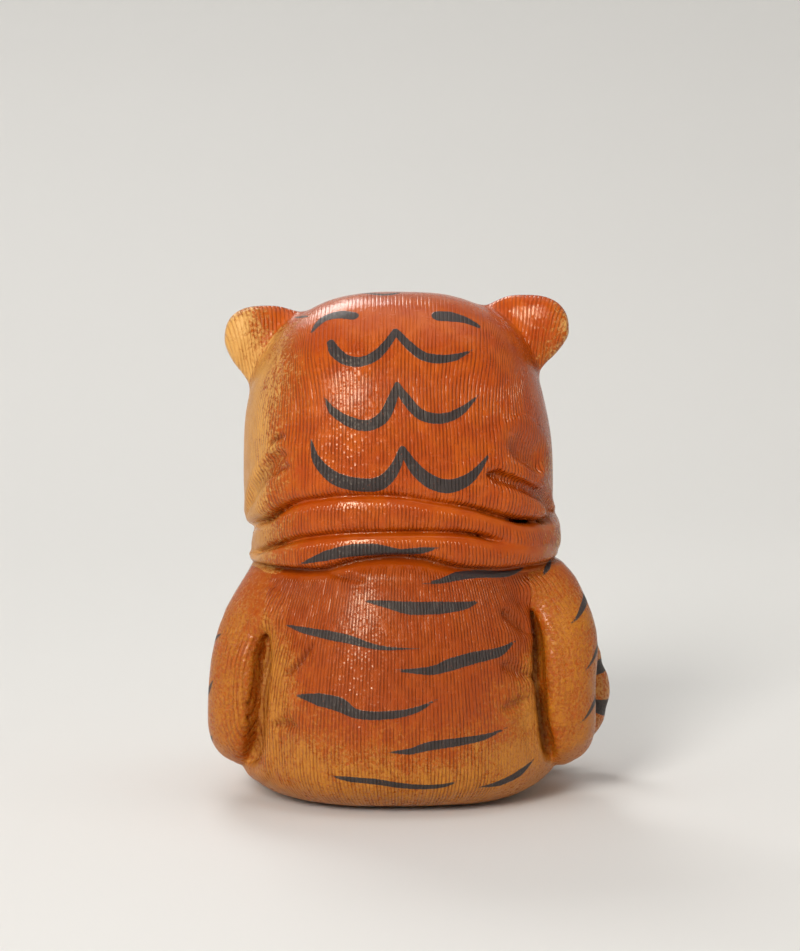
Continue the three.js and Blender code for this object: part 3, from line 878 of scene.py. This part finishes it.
# Painted strokes of each view: points, and widths at evenly spaced stations, in millimetres
foreheadWidths = [0.2, 1.5, 1.8, 1.5, 0.2]
dotWidths = [0.8, 0.8]
armWidths = [0.1, 1, 1.4, 0.1]
strokes = {
    "top": [
        # crown
        ([(-6.2, -3.6), (-3.8, -6.2), (-2.2, -7), (-0.8, -6.2), (0.6, -3.4)],
            [0.3, 1.3, 1.6, 1.3, 0.3]),
    ],
    "back": [
        # brows
        ([(-16.1, 75), (-13.8, 75.2)], [0.3, 0.7, 0.3]),
        ([(-13.1, 72.9), (-12.2, 74.1), (-11, 75), (-8.9, 75.5), (-6.9, 75.3)],
            [0.5, 1.3, 1.7, 2, 1.8]),
        ([(6.2, 75.3), (8, 75.2), (10.1, 74.7), (12, 73.8)], [2.4, 2.5, 1.7, 1]),
        # three brackets, each with a left and a right half
        ([(-10.2, 71.3), (-9.5, 70), (-7.9, 68.8), (-5.7, 68.5), (-3.6, 69.3),
            (-2, 70.8), (-0.4, 73)], [1.2, 1.8, 1.7, 1.6, 1.6, 1.4, 1.1]),
        ([(-0.4, 73), (1.5, 71), (3.6, 69.4), (6, 68.9), (8.6, 69.2),
            (11.4, 70.3)], [1.1, 1.4, 1.5, 1.5, 1.1, 0.1]),
        ([(-11, 63.1), (-9.8, 61.2), (-7.2, 59.6), (-4.5, 59.1), (-2.2, 60.4),
            (-0.9, 63), (-0.2, 65.2)], [0.2, 1.2, 1.6, 1.7, 1.8, 1.5, 0.8]),
        ([(-0.2, 65.2), (1, 63.2), (3.2, 60.8), (6.2, 60.1), (9.2, 61.1),
            (12.4, 63.9)], [0.8, 1.5, 1.6, 1.6, 1.3, 0.1]),
        ([(-13.1, 57), (-12.2, 53.8), (-9.5, 51.2), (-5.7, 50.2), (-2.7, 50.5),
            (-0.6, 52.6), (0.6, 55.6)], [0.2, 1.4, 2, 2.1, 2.1, 1.7, 1]),
        ([(0.6, 55.6), (2.4, 52.8), (4.7, 50.8), (7.4, 50), (10.2, 50.9),
            (12.2, 52.8), (13.9, 55.2)], [1, 1.8, 2.1, 2.1, 1.8, 1, 0.1]),
        # nape and shoulder
        ([(-15.2, 37.9), (-11, 39.4), (-7.2, 40.3), (-3.5, 40.4), (0.2, 40),
            (3.6, 40.4), (6.2, 40.8)], [0.1, 1.5, 1.9, 2, 1.4, 1, 0.1]),
        ([(3.4, 35.4), (6.4, 35.7), (8.8, 36.3), (12.2, 36.5), (16.8, 36.1),
            (19.8, 36.9)], [0.1, 0.8, 1.4, 1.3, 0.9, 0.1]),
        ([(22.2, 35.4), (23, 36.6), (23.7, 37.9)], [0.2, 0.9, 0.2]),
        # back, from above
        ([(-5.6, 32.9), (-2, 32.4), (1.7, 31.8), (6.2, 31.8), (10, 32), (12.3, 32.6)],
            [0.1, 1.1, 2, 1.9, 1.2, 0.1]),
        ([(-17.5, 28.7), (-14.1, 28.1), (-10.2, 27.6), (-7.2, 27.1), (-2.7, 26),
            (3.4, 25.9)], [0.1, 1, 1.4, 1.3, 0.7, 0.1]),
        ([(-1.4, 22.7), (4.7, 22.6), (7.7, 23.4), (11.5, 24.3), (15.3, 24.9),
            (17.9, 26.4)], [0.1, 1.3, 1.9, 1.8, 1.4, 0.1]),
        ([(-15.8, 18.5), (-11.8, 18), (-8.7, 17.4), (-6.5, 16.2), (-3.5, 15.9),
            (0.2, 16.2), (3.2, 17), (6.4, 18.7)], [0.1, 2, 2.2, 1.4, 1.3, 1.2, 0.8, 0.1]),
        ([(-1.8, 10.4), (1.7, 10.5), (4.7, 11.3), (9.2, 11.8), (13, 12.3), (16.8, 13.5)],
            [0.1, 1, 1.4, 1.3, 0.9, 0.1]),
        ([(-10.4, 6.5), (-7.3, 6.1), (-3.5, 5.8), (0.2, 5.2), (4, 4.9), (7, 5.1),
            (9.5, 5.9)], [0.1, 0.9, 1, 1, 0.9, 0.7, 0.1]),
        ([(12, 4.4), (15.4, 4.8), (18.5, 6), (20.8, 7.8)], [0.1, 1.2, 1.3, 0.1]),
    ],
    "right": [
        # right arm, then the cheek
        ([(-14.2, 28), (-11.6, 30.4), (-8.3, 31.8), (-4.6, 32.4)], armWidths),
        ([(-14.6, 20.8), (-11.6, 23.6), (-8.4, 25), (-5.2, 25.4)], armWidths),
        ([(-14.6, 12.8), (-12.2, 15.4), (-8.8, 17), (-5.4, 17.2)], armWidths),
        ([(-2.6, 47.6), (0.8, 47.2), (4.4, 47.8), (7.4, 49.4)], [0.2, 1.7, 1.5, 0.1]),
    ],
    "left": [
        # left arm, then the cheek
        ([(-12, 26.4), (-9, 25), (-5.4, 24.8)], [0.3, 1.4, 0.1]),
        ([(-13, 19.4), (-11.3, 17.6), (-8.4, 16.6), (-5.2, 16.8)], [0.2, 1.2, 1.4, 0.1]),
        ([(-11.6, 10.6), (-8.4, 9.4), (-5, 9.6)], [0.1, 1.3, 0.1]),
        ([(-4.4, 54.2), (-1, 53.2), (3, 53.2), (6.4, 54.6)], [0.2, 1.8, 1.6, 0.1]),
    ],
    "front": [
        # forehead
        ([(-8, 74), (-4.2, 72.6), (0, 72.2), (4.2, 72.6), (8, 74)], foreheadWidths),
        ([(-6.2, 70.3), (-3.2, 69.2), (0, 68.9), (3.2, 69.2), (6.2, 70.3)], foreheadWidths),
        ([(-4.2, 66.7), (-2.1, 65.8), (0, 65.6), (2.1, 65.8), (4.2, 66.7)], foreheadWidths),
    ],
}
strokes["front"] += bothSides([
    # brow and cheek
    ([(6.6, 66.6), (9.4, 67.4), (12.6, 66)], [0.6, 1.9, 0.3]),
    ([(22.4, 58.6), (19, 57), (15.4, 56.8)], [1.2, 1.5, 0.1]),
    ([(22.8, 52.6), (19.2, 51.4), (15.2, 52)], [1.3, 1.6, 0.1]),
    ([(21.8, 46.6), (18.2, 46.2), (14.4, 47.8)], [1.1, 1.4, 0.1]),
    # whisker dots
    ([(6.6, 52.6), (6.7, 52.6)], dotWidths),
    ([(8.8, 51.2), (8.9, 51.2)], dotWidths),
    ([(6.7, 50), (6.8, 50)], dotWidths),
    # forearm and flank
    ([(19.4, 24), (20.6, 21.6), (20.8, 18.8)], [0.3, 1.3, 0.1]),
    ([(22.6, 20.6), (23.8, 18.2), (24, 15.6)], [0.2, 1.3, 0.1]),
    ([(15.6, 33.4), (12.6, 32.2), (9.8, 32.6)], [1, 1.2, 0.1]),
])
# ankles
strokes["top"] += bothSides([
    ([(11.6, 24), (15.6, 23), (20.6, 23.8)], [0.1, 1.5, 0.4]),
    ([(12.8, 21), (16.4, 20.2), (20.8, 21)], [0.1, 1.4, 0.4]),
])

paintMargin = 3.0


def paintLine(view, points, widths):
    path = landOn(view, throughPoints(points, 6))
    stations = np.linspace(0, 1, len(widths))
    half = np.interp(np.linspace(0, 1, len(path)), stations, widths) / 2
    return path, half.astype(np.float32)


paint = [paintLine(view, *stroke) for view in strokes for stroke in strokes[view]]
report(f"{len(paint)} strokes landed")


# Comb marks run down the clay: how far a point lies across and along them, and how deep they are
def arcTable(halfX, halfY, plan):
    turn = np.radians(np.linspace(0, 90, 200))
    rim = rimOf(turn, halfX, halfY, plan)
    steps = np.hypot(np.diff(rim * np.sin(turn)), np.diff(rim * np.cos(turn)))
    return np.degrees(turn), np.concatenate([[0], np.cumsum(steps)])


combTables = {
    "head": arcTable(*headShape["half"], headShape["plan"]),
    "torso": arcTable(*torsoShape["half"], torsoShape["plan"]),
}


def combOf(p, name):
    onHead = name in headPieces
    table = combTables["head" if onHead else "torso"]
    lean = torsoShape["lean"] * p[2] if name == "torso" else 0.0
    middle = headShape["centre"][1] if name != "torso" else 0.0
    behind = np.abs(p[1] + lean - middle)
    if name == "head":
        crown = easeStep(p[2], 58, 70) * easeStep(-np.abs(p[0]), -20, -12)
        behind = behind + crown * np.maximum(headShape["half"][1] - behind, 0)
        crownDepth = 1 - 0.8 * easeStep(p[2], 68, 77)
    turn = np.degrees(np.arctan2(np.abs(p[0]), behind + 0.01))
    across = np.interp(turn, *table) * np.sign(p[0])
    along = p[2].astype(float)
    if name in earShapes:
        local = inEar(p, earShapes[name])
        up = local[2] + earFan["below"]
        across = np.degrees(np.arctan2(local[0], up)) * earFan["pitch"]
        along = np.hypot(local[0], up)
        depth = np.full(p.shape[1], earFan["depth"])
    elif name == "left_arm":
        depth = 0.2 + 0.6 * easeStep(p[0], -28.0, -25.0) * easeStep(-p[2], -30, -24)
        depth = depth * easeStep(-p[1], -6, 0)
    elif name == "right_arm":
        depth = (0.1 + 0.35 * easeStep(-p[0], -27.5, -23.5)) * easeStep(-p[1], -6, 0)
    elif name == "head":
        face = np.hypot(p[0] / 15.0, (p[2] - 55) / 15.0)
        depth = np.where(p[1] > 4, easeStep(face, 0.8, 1.3), 1.0) * crownDepth
    elif name == "torso":
        depth = 1 - 0.75 * easeStep(p[0], 12.0, 16.5) * easeStep(-p[2], -22.0, -14.0)
        depth = depth * (1 - 0.5 * easeStep(p[1], 6, 12))
    elif onHead:
        depth = np.ones(p.shape[1])
    else:
        depth = np.zeros(p.shape[1])
    return across, along, depth


lipShape = {"top": (-0.3, 0.1), "foot": (-2.0, -1.1), "behind": (0, 5)}
# how dark the painted shade in the nape creases is, at most, and how far it spreads beside a fold
shadeAndWashShape = {"crease": 1.3, "creaseMost": 0.6, "spread": 0.9}


# the smooth glazed lip under each crease of the nape
def lipOf(p):
    turn = turnOf(p)
    lip = np.zeros(p.shape[1])
    for crease in creases:
        below = creaseHeight(crease, turn) - p[2]
        band = easeStep(below, *lipShape["top"]) * easeStep(-below, *lipShape["foot"])
        lip = np.maximum(lip, band)
    return lip * easeStep(-p[1], *lipShape["behind"])


# painted shade in the creases and folds, and the dark wash line at the mouth and round the eyes,
# from 0 to 1
def shadeAndWashOf(p):
    shadeAndWash = np.clip(creaseCut(p) * shadeAndWashShape["crease"], 0, shadeAndWashShape["creaseMost"])
    for groove, distance in nearGrooves(p):
        across = np.maximum(distance, 0) / (shadeAndWashShape["spread"] * groove["width"])
        shadeAndWash = np.maximum(shadeAndWash, groove["shadeAndWash"] * np.exp(-across * across))
    return shadeAndWash


# how far out the slip reaches on each ear, and from where down and how fast it draws back
earSlip = {"left_ear": (2.2, 0, 0.7), "right_ear": (6.8, 1, 0.5)}
# how far out it reaches on the head and the torso, and where it ends about the face and the belly
slipEdge = {
    "headLeft": 19.0,
    "headRight": 25.0,
    "face": (13.5, 12.5),
    "faceHeight": 52,
    "torsoLeft": 17.5,
    "torsoRight": 17.8,
    "rump": 8.0,
    "belly": 13,
    "bellyFoot": 14,
    "front": 6,
    "bare": -3.5,
}


def past(value, start):
    return np.maximum(value - start, 0)


# Where the orange slip lies, in millimetres inside its edge; the bare clay is ochre
def slipOf(p, name):
    x, y, z = p.astype(float)
    edge = slipEdge
    if name in earShapes:
        local = inEar(p, earShapes[name])
        reach, below, slope = earSlip[name]
        slip = reach - local[0] * earShapes[name]["side"] - past(-local[2], below) * slope
        return np.where(local[1] > 1.2, slip - 3, slip)
    if name in headPieces:
        patchEnd = past(y + 1.8 * np.sin(z * 0.31 + 0.9), -7.0)
        left = x + edge["headLeft"] - 0.04 * (z - 55) + 0.6 * patchEnd
        right = edge["headRight"] - x + past(z, 53) * 0.3 + 0.3 * patchEnd
        slip = np.minimum(left, right)
        halfWide, halfHigh = edge["face"]
        face = (np.hypot(x / halfWide, (z - edge["faceHeight"]) / halfHigh) - 1) * 8
        return np.where(y > edge["front"], np.minimum(slip, face), slip)
    if name == "torso":
        left = x + edge["torsoLeft"] + past(z, 24) * 0.6
        right = edge["torsoRight"] - x + past(z, 20) * 0.9
        rump = (z - edge["rump"] - 0.3 * past(-x, 3) - 0.45 * past(x, 8)) * 0.7
        slip = np.maximum(np.minimum(np.minimum(left, right), rump), -1.5)
        slip = np.minimum(slip, (z - 25) * 0.5 + past(edge["front"], y) * 0.6)
        belly = np.minimum(np.abs(x) - edge["belly"], z - edge["bellyFoot"])
        return np.where(y > edge["front"], np.minimum(slip, belly), slip)
    if name == "left_arm":
        return -0.35 + 1.2 * easeStep(x, -26.0, -22.5) + past(z, 29) * 0.2
    if name == "right_arm":
        return -0.4 + 1.1 * easeStep(-x, -26.0, -22.5) + past(z, 30) * 0.3
    if name == "tail":
        return np.full(p.shape[1], 0.6)
    if name in legLimbs:
        return 0.3 - past(y, 17) * 0.45 - past(14, y) * 0.5
    return np.full(p.shape[1], edge["bare"])


# how deep the ochre is and how brown the orange, near 0 the pale ears and face, 1 the arms and the
# rump: partly the clay's own tone, partly painted shade that darkens the lower body
paleDepth = 0.1
toneAndShadeDepth = {
    "head": 0.35,
    "nape_roll_upper": 0.5,
    "nape_roll_lower": 0.6,
    "torso": 0.9,
    "left_arm": 1.0,
    "right_arm": 1.0,
    "left_leg": 0.8,
    "right_leg": 0.8,
    "tail": 0.6,
}


def toneAndShadeOf(p, name):
    depth = np.full(p.shape[1], toneAndShadeDepth.get(name, paleDepth))
    if name == "head":
        depth = depth * (1 - easeStep(p[1], 4, 12))
    if name == "torso":
        depth = depth * (1 - 0.7 * easeStep(p[1], 8, 16))
    return depth


# Mesh of a field: a coarse look for the blocks that hold skin, fine samples there, then quads
meshing = {"block": 4, "nearSkin": 1.5, "nudge": 0.06, "leastSlope": 0.2, "rounds": 2}


def enlarge(grid, block):
    for axis in range(3):
        grid = np.repeat(grid, block, axis)
    return grid


def castPiece(name):
    piece = pieces[name]
    step, block, nudge = piece["step"], meshing["block"], meshing["nudge"]
    margin = piece["cap"] + 2 * step
    low, high = cadBox(name)
    low = low - margin
    count = np.ceil((high + margin - low) / (step * block)).astype(int) + 1
    axes = [low[a] + (np.arange(count[a]) * block + (block - 1) / 2) * step for a in range(3)]
    middles = np.stack(np.meshgrid(*axes, indexing="ij")).astype(np.float32)
    coarse = pieceField(middles.reshape(3, -1), name).reshape(count)
    near = np.abs(coarse) < block * step * meshing["nearSkin"]
    grid = enlarge(coarse, block)
    where = np.argwhere(enlarge(near, block))
    grid[tuple(where.T)] = pieceField((low + where * step).T.astype(np.float32), name)
    volume = vdb.FloatGrid(farAway)
    volume.copyFromArray(grid.astype(np.float32))
    points, quads = volume.convertToQuads(isovalue=0.0)
    p = (low + points * step).T.astype(np.float32)

    # draw the corners onto the skin itself, but never past the CAD's own box
    value = pieceField(p, name)
    units = np.eye(3, dtype=np.float32)[:, :, None]
    slope = np.stack([(pieceField(p + unit * nudge, name) - value) / nudge for unit in units])
    steepness = np.maximum((slope * slope).sum(0), meshing["leastSlope"])
    for _ in range(meshing["rounds"]):
        move = np.clip(value / steepness, -0.5 * step, 0.5 * step)
        p = np.clip(p - slope * move, clayLow, clayHigh)
        value = pieceField(p, name)
    return p, quads.astype(np.int32)


def addObject(name, data):
    made = bpy.data.objects.new(name, data)
    bpy.context.scene.collection.objects.link(made)
    return made


def setLayer(mesh, layer, rows):
    attribute = mesh.attributes.new(layer, "FLOAT_VECTOR", "POINT")
    attribute.data.foreach_set("vector", np.ascontiguousarray(rows.T, np.float32).ravel())


def paintDistance(p, name):
    if name == "tail":
        return bandGap(alongLimb(p, tail), tail["along"][-1])
    nearest = allFar(p)
    for path, half in paint:
        nearest = np.minimum(nearest, strokeField(p, path, half, paintMargin))
    return nearest


def makePiece(name, material):
    p, quads = castPiece(name)
    first, second, third, fourth = np.moveaxis(p.T[quads], 1, 0)
    if (first * (np.cross(second, third) + np.cross(third, fourth))).sum() < 0:
        quads = quads[:, ::-1]
    mesh = bpy.data.meshes.new(name + "_clay")
    mesh.vertices.add(p.shape[1])
    mesh.vertices.foreach_set("co", np.ascontiguousarray(p.T * 0.001, np.float32).ravel())
    mesh.loops.add(quads.size)
    mesh.loops.foreach_set("vertex_index", np.ascontiguousarray(quads).ravel())
    mesh.polygons.add(len(quads))
    mesh.polygons.foreach_set("loop_start", np.arange(0, quads.size, 4, dtype=np.int32))
    mesh.polygons.foreach_set("use_smooth", np.ones(len(quads), bool))
    mesh.update()
    mesh.validate()
    setLayer(mesh, "comb", np.stack(combOf(p, name)))
    setLayer(mesh, "coat", np.stack([slipOf(p, name), paintDistance(p, name), lipOf(p)]))
    # the third layer holds the painted shade of the creases and folds with the dark wash, then the
    # clay's tone with painted shade of the lower body
    setLayer(mesh, "shadeAndWash", np.stack([shadeAndWashOf(p), toneAndShadeOf(p, name), np.zeros(p.shape[1])]))
    mesh.materials.append(material)
    piece = addObject(name + "_clay", mesh)
    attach(piece, "root")
    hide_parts(name)
    report(f"{name}: {len(quads)} quads")


# Materials
def wire(tree, kind, inputs, **settings):
    made = tree.nodes.new(kind)
    for key, value in settings.items():
        setattr(made, key, value)
    for key, value in inputs.items():
        if isinstance(value, bpy.types.NodeSocket):
            tree.links.new(value, made.inputs[key])
        else:
            made.inputs[key].default_value = value
    return made


def colour(red, green, blue):
    def linear(value):
        value /= 255
        return value / 12.92 if value <= 0.04045 else ((value + 0.055) / 1.055) ** 2.4

    return (linear(red), linear(green), linear(blue), 1.0)


class ClayNodes:
    def __init__(self, name):
        self.material = bpy.data.materials.new(name)
        self.material.use_nodes = True
        self.tree = self.material.node_tree
        self.tree.nodes.clear()
        place = wire(self.tree, "ShaderNodeTexCoord", {}).outputs["Object"]
        inputs = {0: place, "Scale": 1000.0}
        scaled = wire(self.tree, "ShaderNodeVectorMath", inputs, operation="SCALE")
        self.place = scaled.outputs[0]

    def calc(self, operation, a, b=0.0, c=0.0):
        node = wire(self.tree, "ShaderNodeMath", {0: a, 1: b, 2: c}, operation=operation)
        return node.outputs[0]

    def times(self, a, b):
        return self.calc("MULTIPLY", a, b)

    def plus(self, *terms):
        total = terms[0]
        for term in terms[1:]:
            total = self.calc("ADD", total, term)
        return total

    # the rest of a share
    def rest(self, share):
        return self.calc("SUBTRACT", 1.0, share)

    # noise about nought, so many units high
    def sway(self, height, *noise):
        return self.times(self.calc("SUBTRACT", self.noise(*noise), 0.5), height)

    def blendStep(self, value, start, end, low=0.0, high=1.0):
        inputs = {0: value, 1: start, 2: end, 3: low, 4: high}
        node = wire(self.tree, "ShaderNodeMapRange", inputs, interpolation_type="SMOOTHSTEP")
        return node.outputs[0]

    def noise(self, scale, detail=2.0, rough=0.5, vector=None):
        place = vector or self.place
        inputs = {"Vector": place, "Scale": scale, "Detail": detail, "Roughness": rough}
        return wire(self.tree, "ShaderNodeTexNoise", inputs).outputs[0]

    def mix(self, share, first, second):
        inputs = {0: share, 6: first, 7: second}
        node = wire(self.tree, "ShaderNodeMix", inputs, data_type="RGBA")
        return node.outputs[2]

    def layer(self, name):
        source = wire(self.tree, "ShaderNodeAttribute", {}, attribute_name=name)
        split = wire(self.tree, "ShaderNodeSeparateXYZ", {0: source.outputs["Vector"]})
        return split.outputs

    def finish(self, body, rough, height, shine):
        bumpInputs = {"Strength": 1.0, "Distance": 0.001, "Height": height}
        bump = wire(self.tree, "ShaderNodeBump", bumpInputs).outputs[0]
        inputs = {"Base Color": body, "Roughness": rough, "Normal": bump, **shine}
        shader = wire(self.tree, "ShaderNodeBsdfPrincipled", inputs)
        wire(self.tree, "ShaderNodeOutputMaterial", {"Surface": shader.outputs[0]})
        return self.material


clayLook = {
    "orangeDeep": colour(180, 68, 5),
    "orangeBright": colour(198, 87, 8),
    "orangeBrown": colour(138, 54, 5),
    "orangeGroove": colour(112, 38, 2),
    "orangeThin": colour(176, 88, 14),
    "ochrePale": colour(222, 168, 92),
    "ochreDeep": colour(180, 108, 22),
    "speckPale": colour(190, 112, 44),
    "speckDeep": colour(142, 62, 8),
    "shadeAndWash": colour(58, 22, 8),
    "darkRidge": colour(52, 46, 48),
    "darkGroove": colour(32, 28, 30),
    "combPitch": 0.57,
    "combHeight": 0.15,
    "roughness": 0.25,
    "specular": 0.44,
    "specularTint": (1.0, 0.84, 0.62, 1.0),
}


def makeClay():
    clay = ClayNodes("combed_clay")
    calc, noise, mix, blendStep = clay.calc, clay.noise, clay.mix, clay.blendStep
    times, plus, rest, sway = clay.times, clay.plus, clay.rest, clay.sway
    across, along, combDepth = clay.layer("comb")
    slip, paintGap, lip = clay.layer("coat")
    shadeAndWash, toneAndShade, _ = clay.layer("shadeAndWash")

    # comb lines, each with its own strength along its length
    pitches = calc("DIVIDE", across, clayLook["combPitch"])
    lines = plus(pitches, plus(sway(2.2, 0.05, 1.0), sway(0.22, 0.5, 1.0)))
    ridge = blendStep(calc("PINGPONG", lines, 0.5), 0.03, 0.3)
    lineSpot = {0: times(calc("FLOOR", lines), 7.31), 1: times(along, 0.3)}
    spot = wire(clay.tree, "ShaderNodeCombineXYZ", lineSpot).outputs[0]
    strength = blendStep(noise(1.0, 3.0, 0.65, spot), 0.34, 0.6, 0.15, 1.0)
    depth = times(times(combDepth, strength), rest(lip))
    groove = times(rest(ridge), depth)

    # the slip thins out to its edge in fine grains and short streaks
    grains, patches = sway(2.8, 1.9, 4.0, 0.7), sway(1.1, 0.2, 2.0)
    streaks = times(times(calc("SUBTRACT", noise(1.0, 1.0, 0.5, spot), 0.5), depth), 0.9)
    edge = plus(times(slip, 0.17), grains, patches, streaks)
    slipMask = blendStep(edge, -0.34, 0.34)

    cloud = blendStep(noise(0.3, 3.0), 0.3, 0.7)
    orange = mix(cloud, clayLook["orangeDeep"], clayLook["orangeBright"])
    # with this depth the orange turns browner and the ochre deeper, most on the torso and arms:
    # partly the clay's own tone, partly painted shade of the lower body
    orange = mix(times(toneAndShade, 0.75), orange, clayLook["orangeBrown"])
    orange = mix(blendStep(edge, 0.9, 0.1, 0.0, 0.7), orange, clayLook["orangeThin"])
    # the comb grooves are darker: slip pooled in them, and partly painted shade
    orange = mix(times(groove, 0.6), orange, clayLook["orangeGroove"])
    ochre = mix(toneAndShade, clayLook["ochrePale"], clayLook["ochreDeep"])
    speckTint = mix(toneAndShade, clayLook["speckPale"], clayLook["speckDeep"])
    speck = times(blendStep(noise(2.2, 3.0, 0.7), 0.5, 0.66), 0.55)
    ochre = mix(times(speck, plus(times(toneAndShade, 0.8), 0.2)), ochre, speckTint)
    ochre = mix(times(groove, 0.75), ochre, speckTint)
    body = mix(slipMask, ochre, orange)

    # painted marks lie over both, then the painted shade in the creases and folds, with the dark
    # wash at the mouth and round the eyes
    painted = blendStep(plus(paintGap, sway(0.2, 2.4, 2.0)), 0.06, -0.06)
    rubbed = times(blendStep(noise(3.0, 2.0, 0.7), 0.62, 0.74), 0.35)
    # the dark paint is darker in the comb grooves: partly painted shade
    dark = mix(times(groove, 0.8), clayLook["darkRidge"], clayLook["darkGroove"])
    body = mix(times(painted, rest(rubbed)), body, dark)
    # painted shade: the creases and folds are darkened towards a dark brown, and the mouth and eye
    # rims get a dark wash line
    body = mix(times(shadeAndWash, 0.72), body, clayLook["shadeAndWash"])

    # comb ridges, grain where the clay is bare, soft swellings and the thickness of the paint
    bare = rest(times(slipMask, 0.88))
    height = plus(
        times(times(ridge, depth), clayLook["combHeight"]),
        times(times(noise(2.4, 3.0, 0.6), bare), 0.12),
        times(times(noise(6.5, 3.0, 0.6), bare), 0.03),
        times(noise(0.45, 2.0), 0.1),
        times(painted, 0.03),
    )
    rough = plus(times(noise(0.8, 2.0), 0.16), clayLook["roughness"] - 0.08, times(painted, 0.2))
    rough = plus(calc("SUBTRACT", rough, times(lip, 0.12)), times(rest(slipMask), 0.08))
    shine = {"Specular IOR Level": clayLook["specular"], "Specular Tint": clayLook["specularTint"]}
    return clay.finish(body, rough, height, shine)


darkLook = {
    "deep": colour(30, 25, 26),
    "worn": colour(74, 58, 52),
    "roughness": 0.22,
    "ior": 1.5,
}


def makeDark():
    dark = ClayNodes("dark_glaze")
    times, plus, noise = dark.times, dark.plus, dark.noise
    worn = times(dark.blendStep(noise(1.4, 4.0, 0.65), 0.46, 0.72), 0.7)
    body = dark.mix(worn, darkLook["deep"], darkLook["worn"])
    rough = plus(times(worn, 0.25), darkLook["roughness"])
    height = plus(times(noise(5.0, 3.0, 0.6), 0.03), times(noise(0.7, 1.0), 0.08))
    return dark.finish(body, rough, height, {"IOR": darkLook["ior"]})


# the base slab is unglazed clay all over
def makeBare():
    bare = ClayNodes("bare_clay")
    times, plus, noise = bare.times, bare.plus, bare.noise
    speck = times(bare.blendStep(noise(1.9, 4.0, 0.7), 0.44, 0.64), 0.6)
    body = bare.mix(speck, clayLook["ochrePale"], clayLook["speckPale"])
    rough = plus(times(noise(0.8, 2.0), 0.16), 0.5)
    height = plus(times(noise(2.4, 3.0, 0.6), 0.12), times(noise(0.45, 2.0), 0.1))
    return bare.finish(body, rough, height, {})


combedClay = makeClay()
darkGlaze = makeDark()
darkPieces = ["nose", "left_eye", "right_eye"]
for name in pieces:
    if name in darkPieces:
        makePiece(name, darkGlaze)
    else:
        makePiece(name, combedClay)

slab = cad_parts["base_slab"]
slab.data.materials.clear()
slab.data.materials.append(makeBare())

# Floor, lights and camera
studio = {
    "floor": colour(226, 224, 220),
    "floorRoughness": 0.7,
    "floorSpecular": 0.2,
    "flat": 0.5,
    "curve": 0.75,
    "rim": 1.3,
    "world": 0.25,
    "sides": 96,
    "aim": (0, 0, 0.04),
    "eye": (0.00024, -0.3756, 0.0775),
    "tilt": -4.18,
    "lens": 60.05,
}


# a round pale floor that curves up into the backdrop on every side
def makeFloor():
    turns = np.radians(np.linspace(0, 90, 13))
    reach = studio["flat"] + studio["curve"] * np.append(np.sin(turns), 1)
    rise = np.append(studio["curve"] * (1 - np.cos(turns)), studio["rim"])
    sides = studio["sides"]
    points = [(0.0, 0.0, 0.0)]
    for out, height in zip(reach, rise):
        for turn in np.radians(np.arange(sides) * 360 / sides):
            points.append((out * math.cos(turn), out * math.sin(turn), height))
    faces = [(0, 1 + i, 1 + (i + 1) % sides) for i in range(sides)]
    for start in range(1, len(points) - sides, sides):
        for i in range(sides):
            after = (i + 1) % sides
            faces.append((start + i, start + sides + i, start + sides + after, start + after))
    mesh = bpy.data.meshes.new("studio_floor")
    mesh.from_pydata(points, [], faces)
    mesh.polygons.foreach_set("use_smooth", [True] * len(faces))
    floor = addObject("studio_floor", mesh)
    material = bpy.data.materials.new("studio_floor")
    material.use_nodes = True
    shader = material.node_tree.nodes["Principled BSDF"].inputs
    shader["Base Color"].default_value = studio["floor"]
    shader["Roughness"].default_value = studio["floorRoughness"]
    shader["Specular IOR Level"].default_value = studio["floorSpecular"]
    mesh.materials.append(material)
    floor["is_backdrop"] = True


makeFloor()

world = bpy.data.worlds.new("studio")
world.use_nodes = True
sky = world.node_tree.nodes["Background"].inputs
sky["Color"].default_value = (1, 1, 1, 1)
sky["Strength"].default_value = studio["world"]
bpy.context.scene.world = world


def softLight(name, place, size, watts, tint=(1, 1, 1), spread=180):
    lamp = bpy.data.lights.new(name, "AREA")
    lamp.shape = "RECTANGLE"
    lamp.size, lamp.size_y = size
    lamp.energy = watts
    lamp.color = tint
    lamp.spread = math.radians(spread)
    holder = addObject(name, lamp)
    holder.location = place
    aim = Vector(studio["aim"]) - Vector(place)
    holder.rotation_euler = aim.to_track_quat("-Z", "Y").to_euler()


softLight("key_window", (-0.3, -0.8, 0.46), (0.22, 0.4), 0.92, (1.0, 0.985, 0.96), 62)
softLight("overhead", (0.1, -0.08, 1.5), (1.2, 1.2), 5.6, (0.98, 0.99, 1.0))
softLight("front_fill", (-0.28, 0.75, 0.85), (0.4, 0.4), 3.8)

camera = bpy.data.cameras.new("camera")
camera.sensor_fit = "VERTICAL"
camera.sensor_height = 24
camera.lens = studio["lens"]
camera.clip_start = 0.01
eye = addObject("camera", camera)
eye.location = studio["eye"]
eye.rotation_euler = (math.radians(90 + studio["tilt"]), 0, 0)
bpy.context.scene.camera = eye
bpy.context.scene.view_settings.view_transform = "Standard"

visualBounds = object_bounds()
plain = [[list(corner) for corner in box] for box in (cadBounds, visualBounds)]
report("scene ready")
